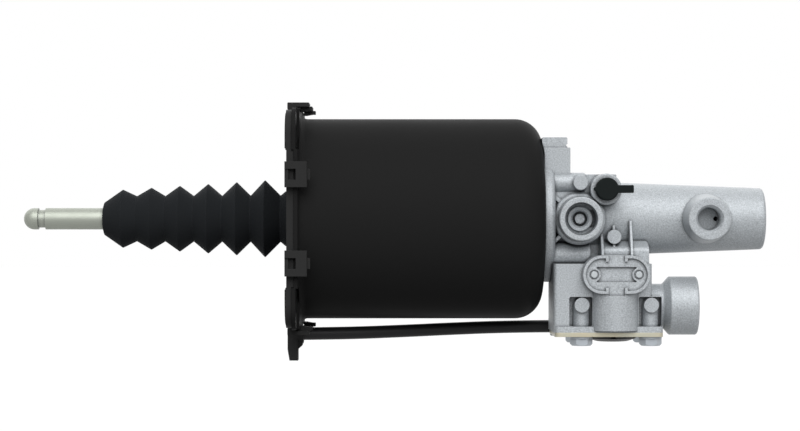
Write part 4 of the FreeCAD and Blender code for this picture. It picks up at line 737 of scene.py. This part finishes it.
def port_thread(name, port, axis, start, turns):
    """A thread in a port's bore, which begins at this place along the bore's axis.

    A triangle in a circle of 1 mm radius is 1.5 mm high and root 3 wide, and its middle lies a third of
    the way up from its base.
    """
    bpy.ops.object.select_all(action="DESELECT")
    depth = TOOTH_HEIGHT + TOOTH_ROOT
    middle = ports[port]["dims"]["r_mm"] + TOOTH_ROOT - depth / 3
    place, turn = ((start, 0, middle), 0) if axis == "X" else ((0, start, middle), math.pi / 2)
    bpy.ops.mesh.primitive_circle_add(vertices=3, radius=MM, location=[v * MM for v in place],
                                      rotation=(-math.pi / 2, 0, turn))
    tooth = bpy.context.object
    tooth.scale = (TOOTH_WIDTH / math.sqrt(3), depth / 1.5, 1)
    thread = wound(tooth, axis, THREAD_PITCH, turns)
    thread.name = name
    thread.location = [0 if side == axis else value for side, value in zip("XYZ", ports[port]["pos_m"])]
    bpy.ops.object.transform_apply(location=True, rotation=True, scale=True)
    close_ends(TOOTH_CREASE)
    dress(thread, "machined_aluminium")
    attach(thread, "servo_body")
    return thread


fluid_thread = port_thread("fluid_port_thread", "fluid_port", "Y", start=-30.0, turns=6)
air_thread = port_thread("air_port_thread", "air_port", "X", start=198.0, turns=8)
print("thread faces:", len(fluid_thread.data.polygons), len(air_thread.data.polygons))

# %% [markdown]
# ## The bolts under the plate
# Four hexagon bolts hold the bottom plate. The bar that a head is cut from is a hexagon, and the lathe
# then turns its end to a cone, so the corners of the end are rounded off. That is made the same way: a
# six-sided cylinder and a cone are added, and a Boolean modifier keeps what lies in both. One flat faces
# the front, as in the photograph. The first bolt is copied to the other three places.

# %% The bolts' sizes and places
BOLT_FLATS = 10.0
BOLT_HEAD = 3.6
BOLT_SHANK_R = 2.4
BOLT_OVERLAP = 1.0
CONE_INSET = 0.15
CONE_FLARE = 4.2
CONE_SIDES = 48
SHANK_SIDES = 24
FLAT_TO_FRONT = math.radians(30)
BOLT_CREASE = 25
bolts_low, bolts_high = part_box("plate_bolts")


def bolt_places():
    """The four axes, each half a head inside the box of the solid bolts, whose corners face the front."""
    (left, front, _), (right, back, _) = box_mm("plate_bolts")
    half = BOLT_FLATS / 2
    corner_r = round(BOLT_FLATS / math.sqrt(3), 1)
    return [(x, y) for y in (front + corner_r, back - corner_r) for x in (left + half, right - half)]


BOLT_PLACES = bolt_places()
print("bolts at:", BOLT_PLACES)

# %% One bolt
def turned_hexagon():
    x, y = BOLT_PLACES[0]
    middle = (x * MM, y * MM, bolts_low[2] + BOLT_HEAD * MM / 2)
    above = middle[2] + BOLT_OVERLAP * MM / 2
    bpy.ops.object.select_all(action="DESELECT")
    bpy.ops.mesh.primitive_cone_add(vertices=CONE_SIDES, radius1=(BOLT_FLATS / 2 - CONE_INSET) * MM,
                                    radius2=(BOLT_FLATS / 2 + CONE_FLARE) * MM,
                                    depth=(BOLT_HEAD + BOLT_OVERLAP) * MM, location=(x * MM, y * MM, above))
    turned = bpy.context.object
    bpy.ops.mesh.primitive_cylinder_add(vertices=6, radius=BOLT_FLATS / math.sqrt(3) * MM,
                                        depth=BOLT_HEAD * MM, location=middle,
                                        rotation=(0, 0, FLAT_TO_FRONT))
    head = bpy.context.object
    bpy.ops.object.modifier_add(type="BOOLEAN")
    head.modifiers[-1].operation = "INTERSECT"
    head.modifiers[-1].object = turned
    bpy.ops.object.modifier_apply(modifier=head.modifiers[-1].name)
    bpy.data.objects.remove(turned)
    return head


def plate_bolt():
    head = turned_hexagon()
    x, y = BOLT_PLACES[0]
    top = bolts_high[2]
    under = bolts_low[2] + (BOLT_HEAD - BOLT_OVERLAP) * MM
    bpy.ops.mesh.primitive_cylinder_add(vertices=SHANK_SIDES, radius=BOLT_SHANK_R * MM, depth=top - under,
                                        location=(x * MM, y * MM, (top + under) / 2))
    shank = bpy.context.object
    bpy.ops.object.select_all(action="DESELECT")
    for piece in (shank, head):
        piece.select_set(True)
    bpy.context.view_layer.objects.active = head
    bpy.ops.object.join()
    bpy.ops.object.transform_apply(location=True, rotation=True, scale=True)
    bpy.ops.object.shade_smooth_by_angle(angle=math.radians(BOLT_CREASE))
    return head


first_bolt = plate_bolt()
print("faces of a bolt:", len(first_bolt.data.polygons))

# %% The four bolts
def copied_bolt(first, x, y):
    bpy.ops.object.select_all(action="DESELECT")
    first.select_set(True)
    bpy.context.view_layer.objects.active = first
    bpy.ops.object.duplicate(linked=False)
    copy = bpy.context.object
    copy.location = ((x - BOLT_PLACES[0][0]) * MM, (y - BOLT_PLACES[0][1]) * MM, 0)
    bpy.ops.object.transform_apply(location=True, rotation=False, scale=False)
    return copy


bolts = [first_bolt] + [copied_bolt(first_bolt, x, y) for x, y in BOLT_PLACES[1:]]
for number, bolt in enumerate(bolts, start=1):
    bolt.name = f"plate_bolt_{number}"
    dress(bolt, "zinc_steel")
    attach(bolt, "servo_body")
    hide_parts("plate_bolts")
print("bolts:", [bolt.name for bolt in bolts])

# %% [markdown]
# ## Sizes
# Last, the box round the dressed servo is measured, without the floor.

# %% Sizes
low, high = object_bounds()
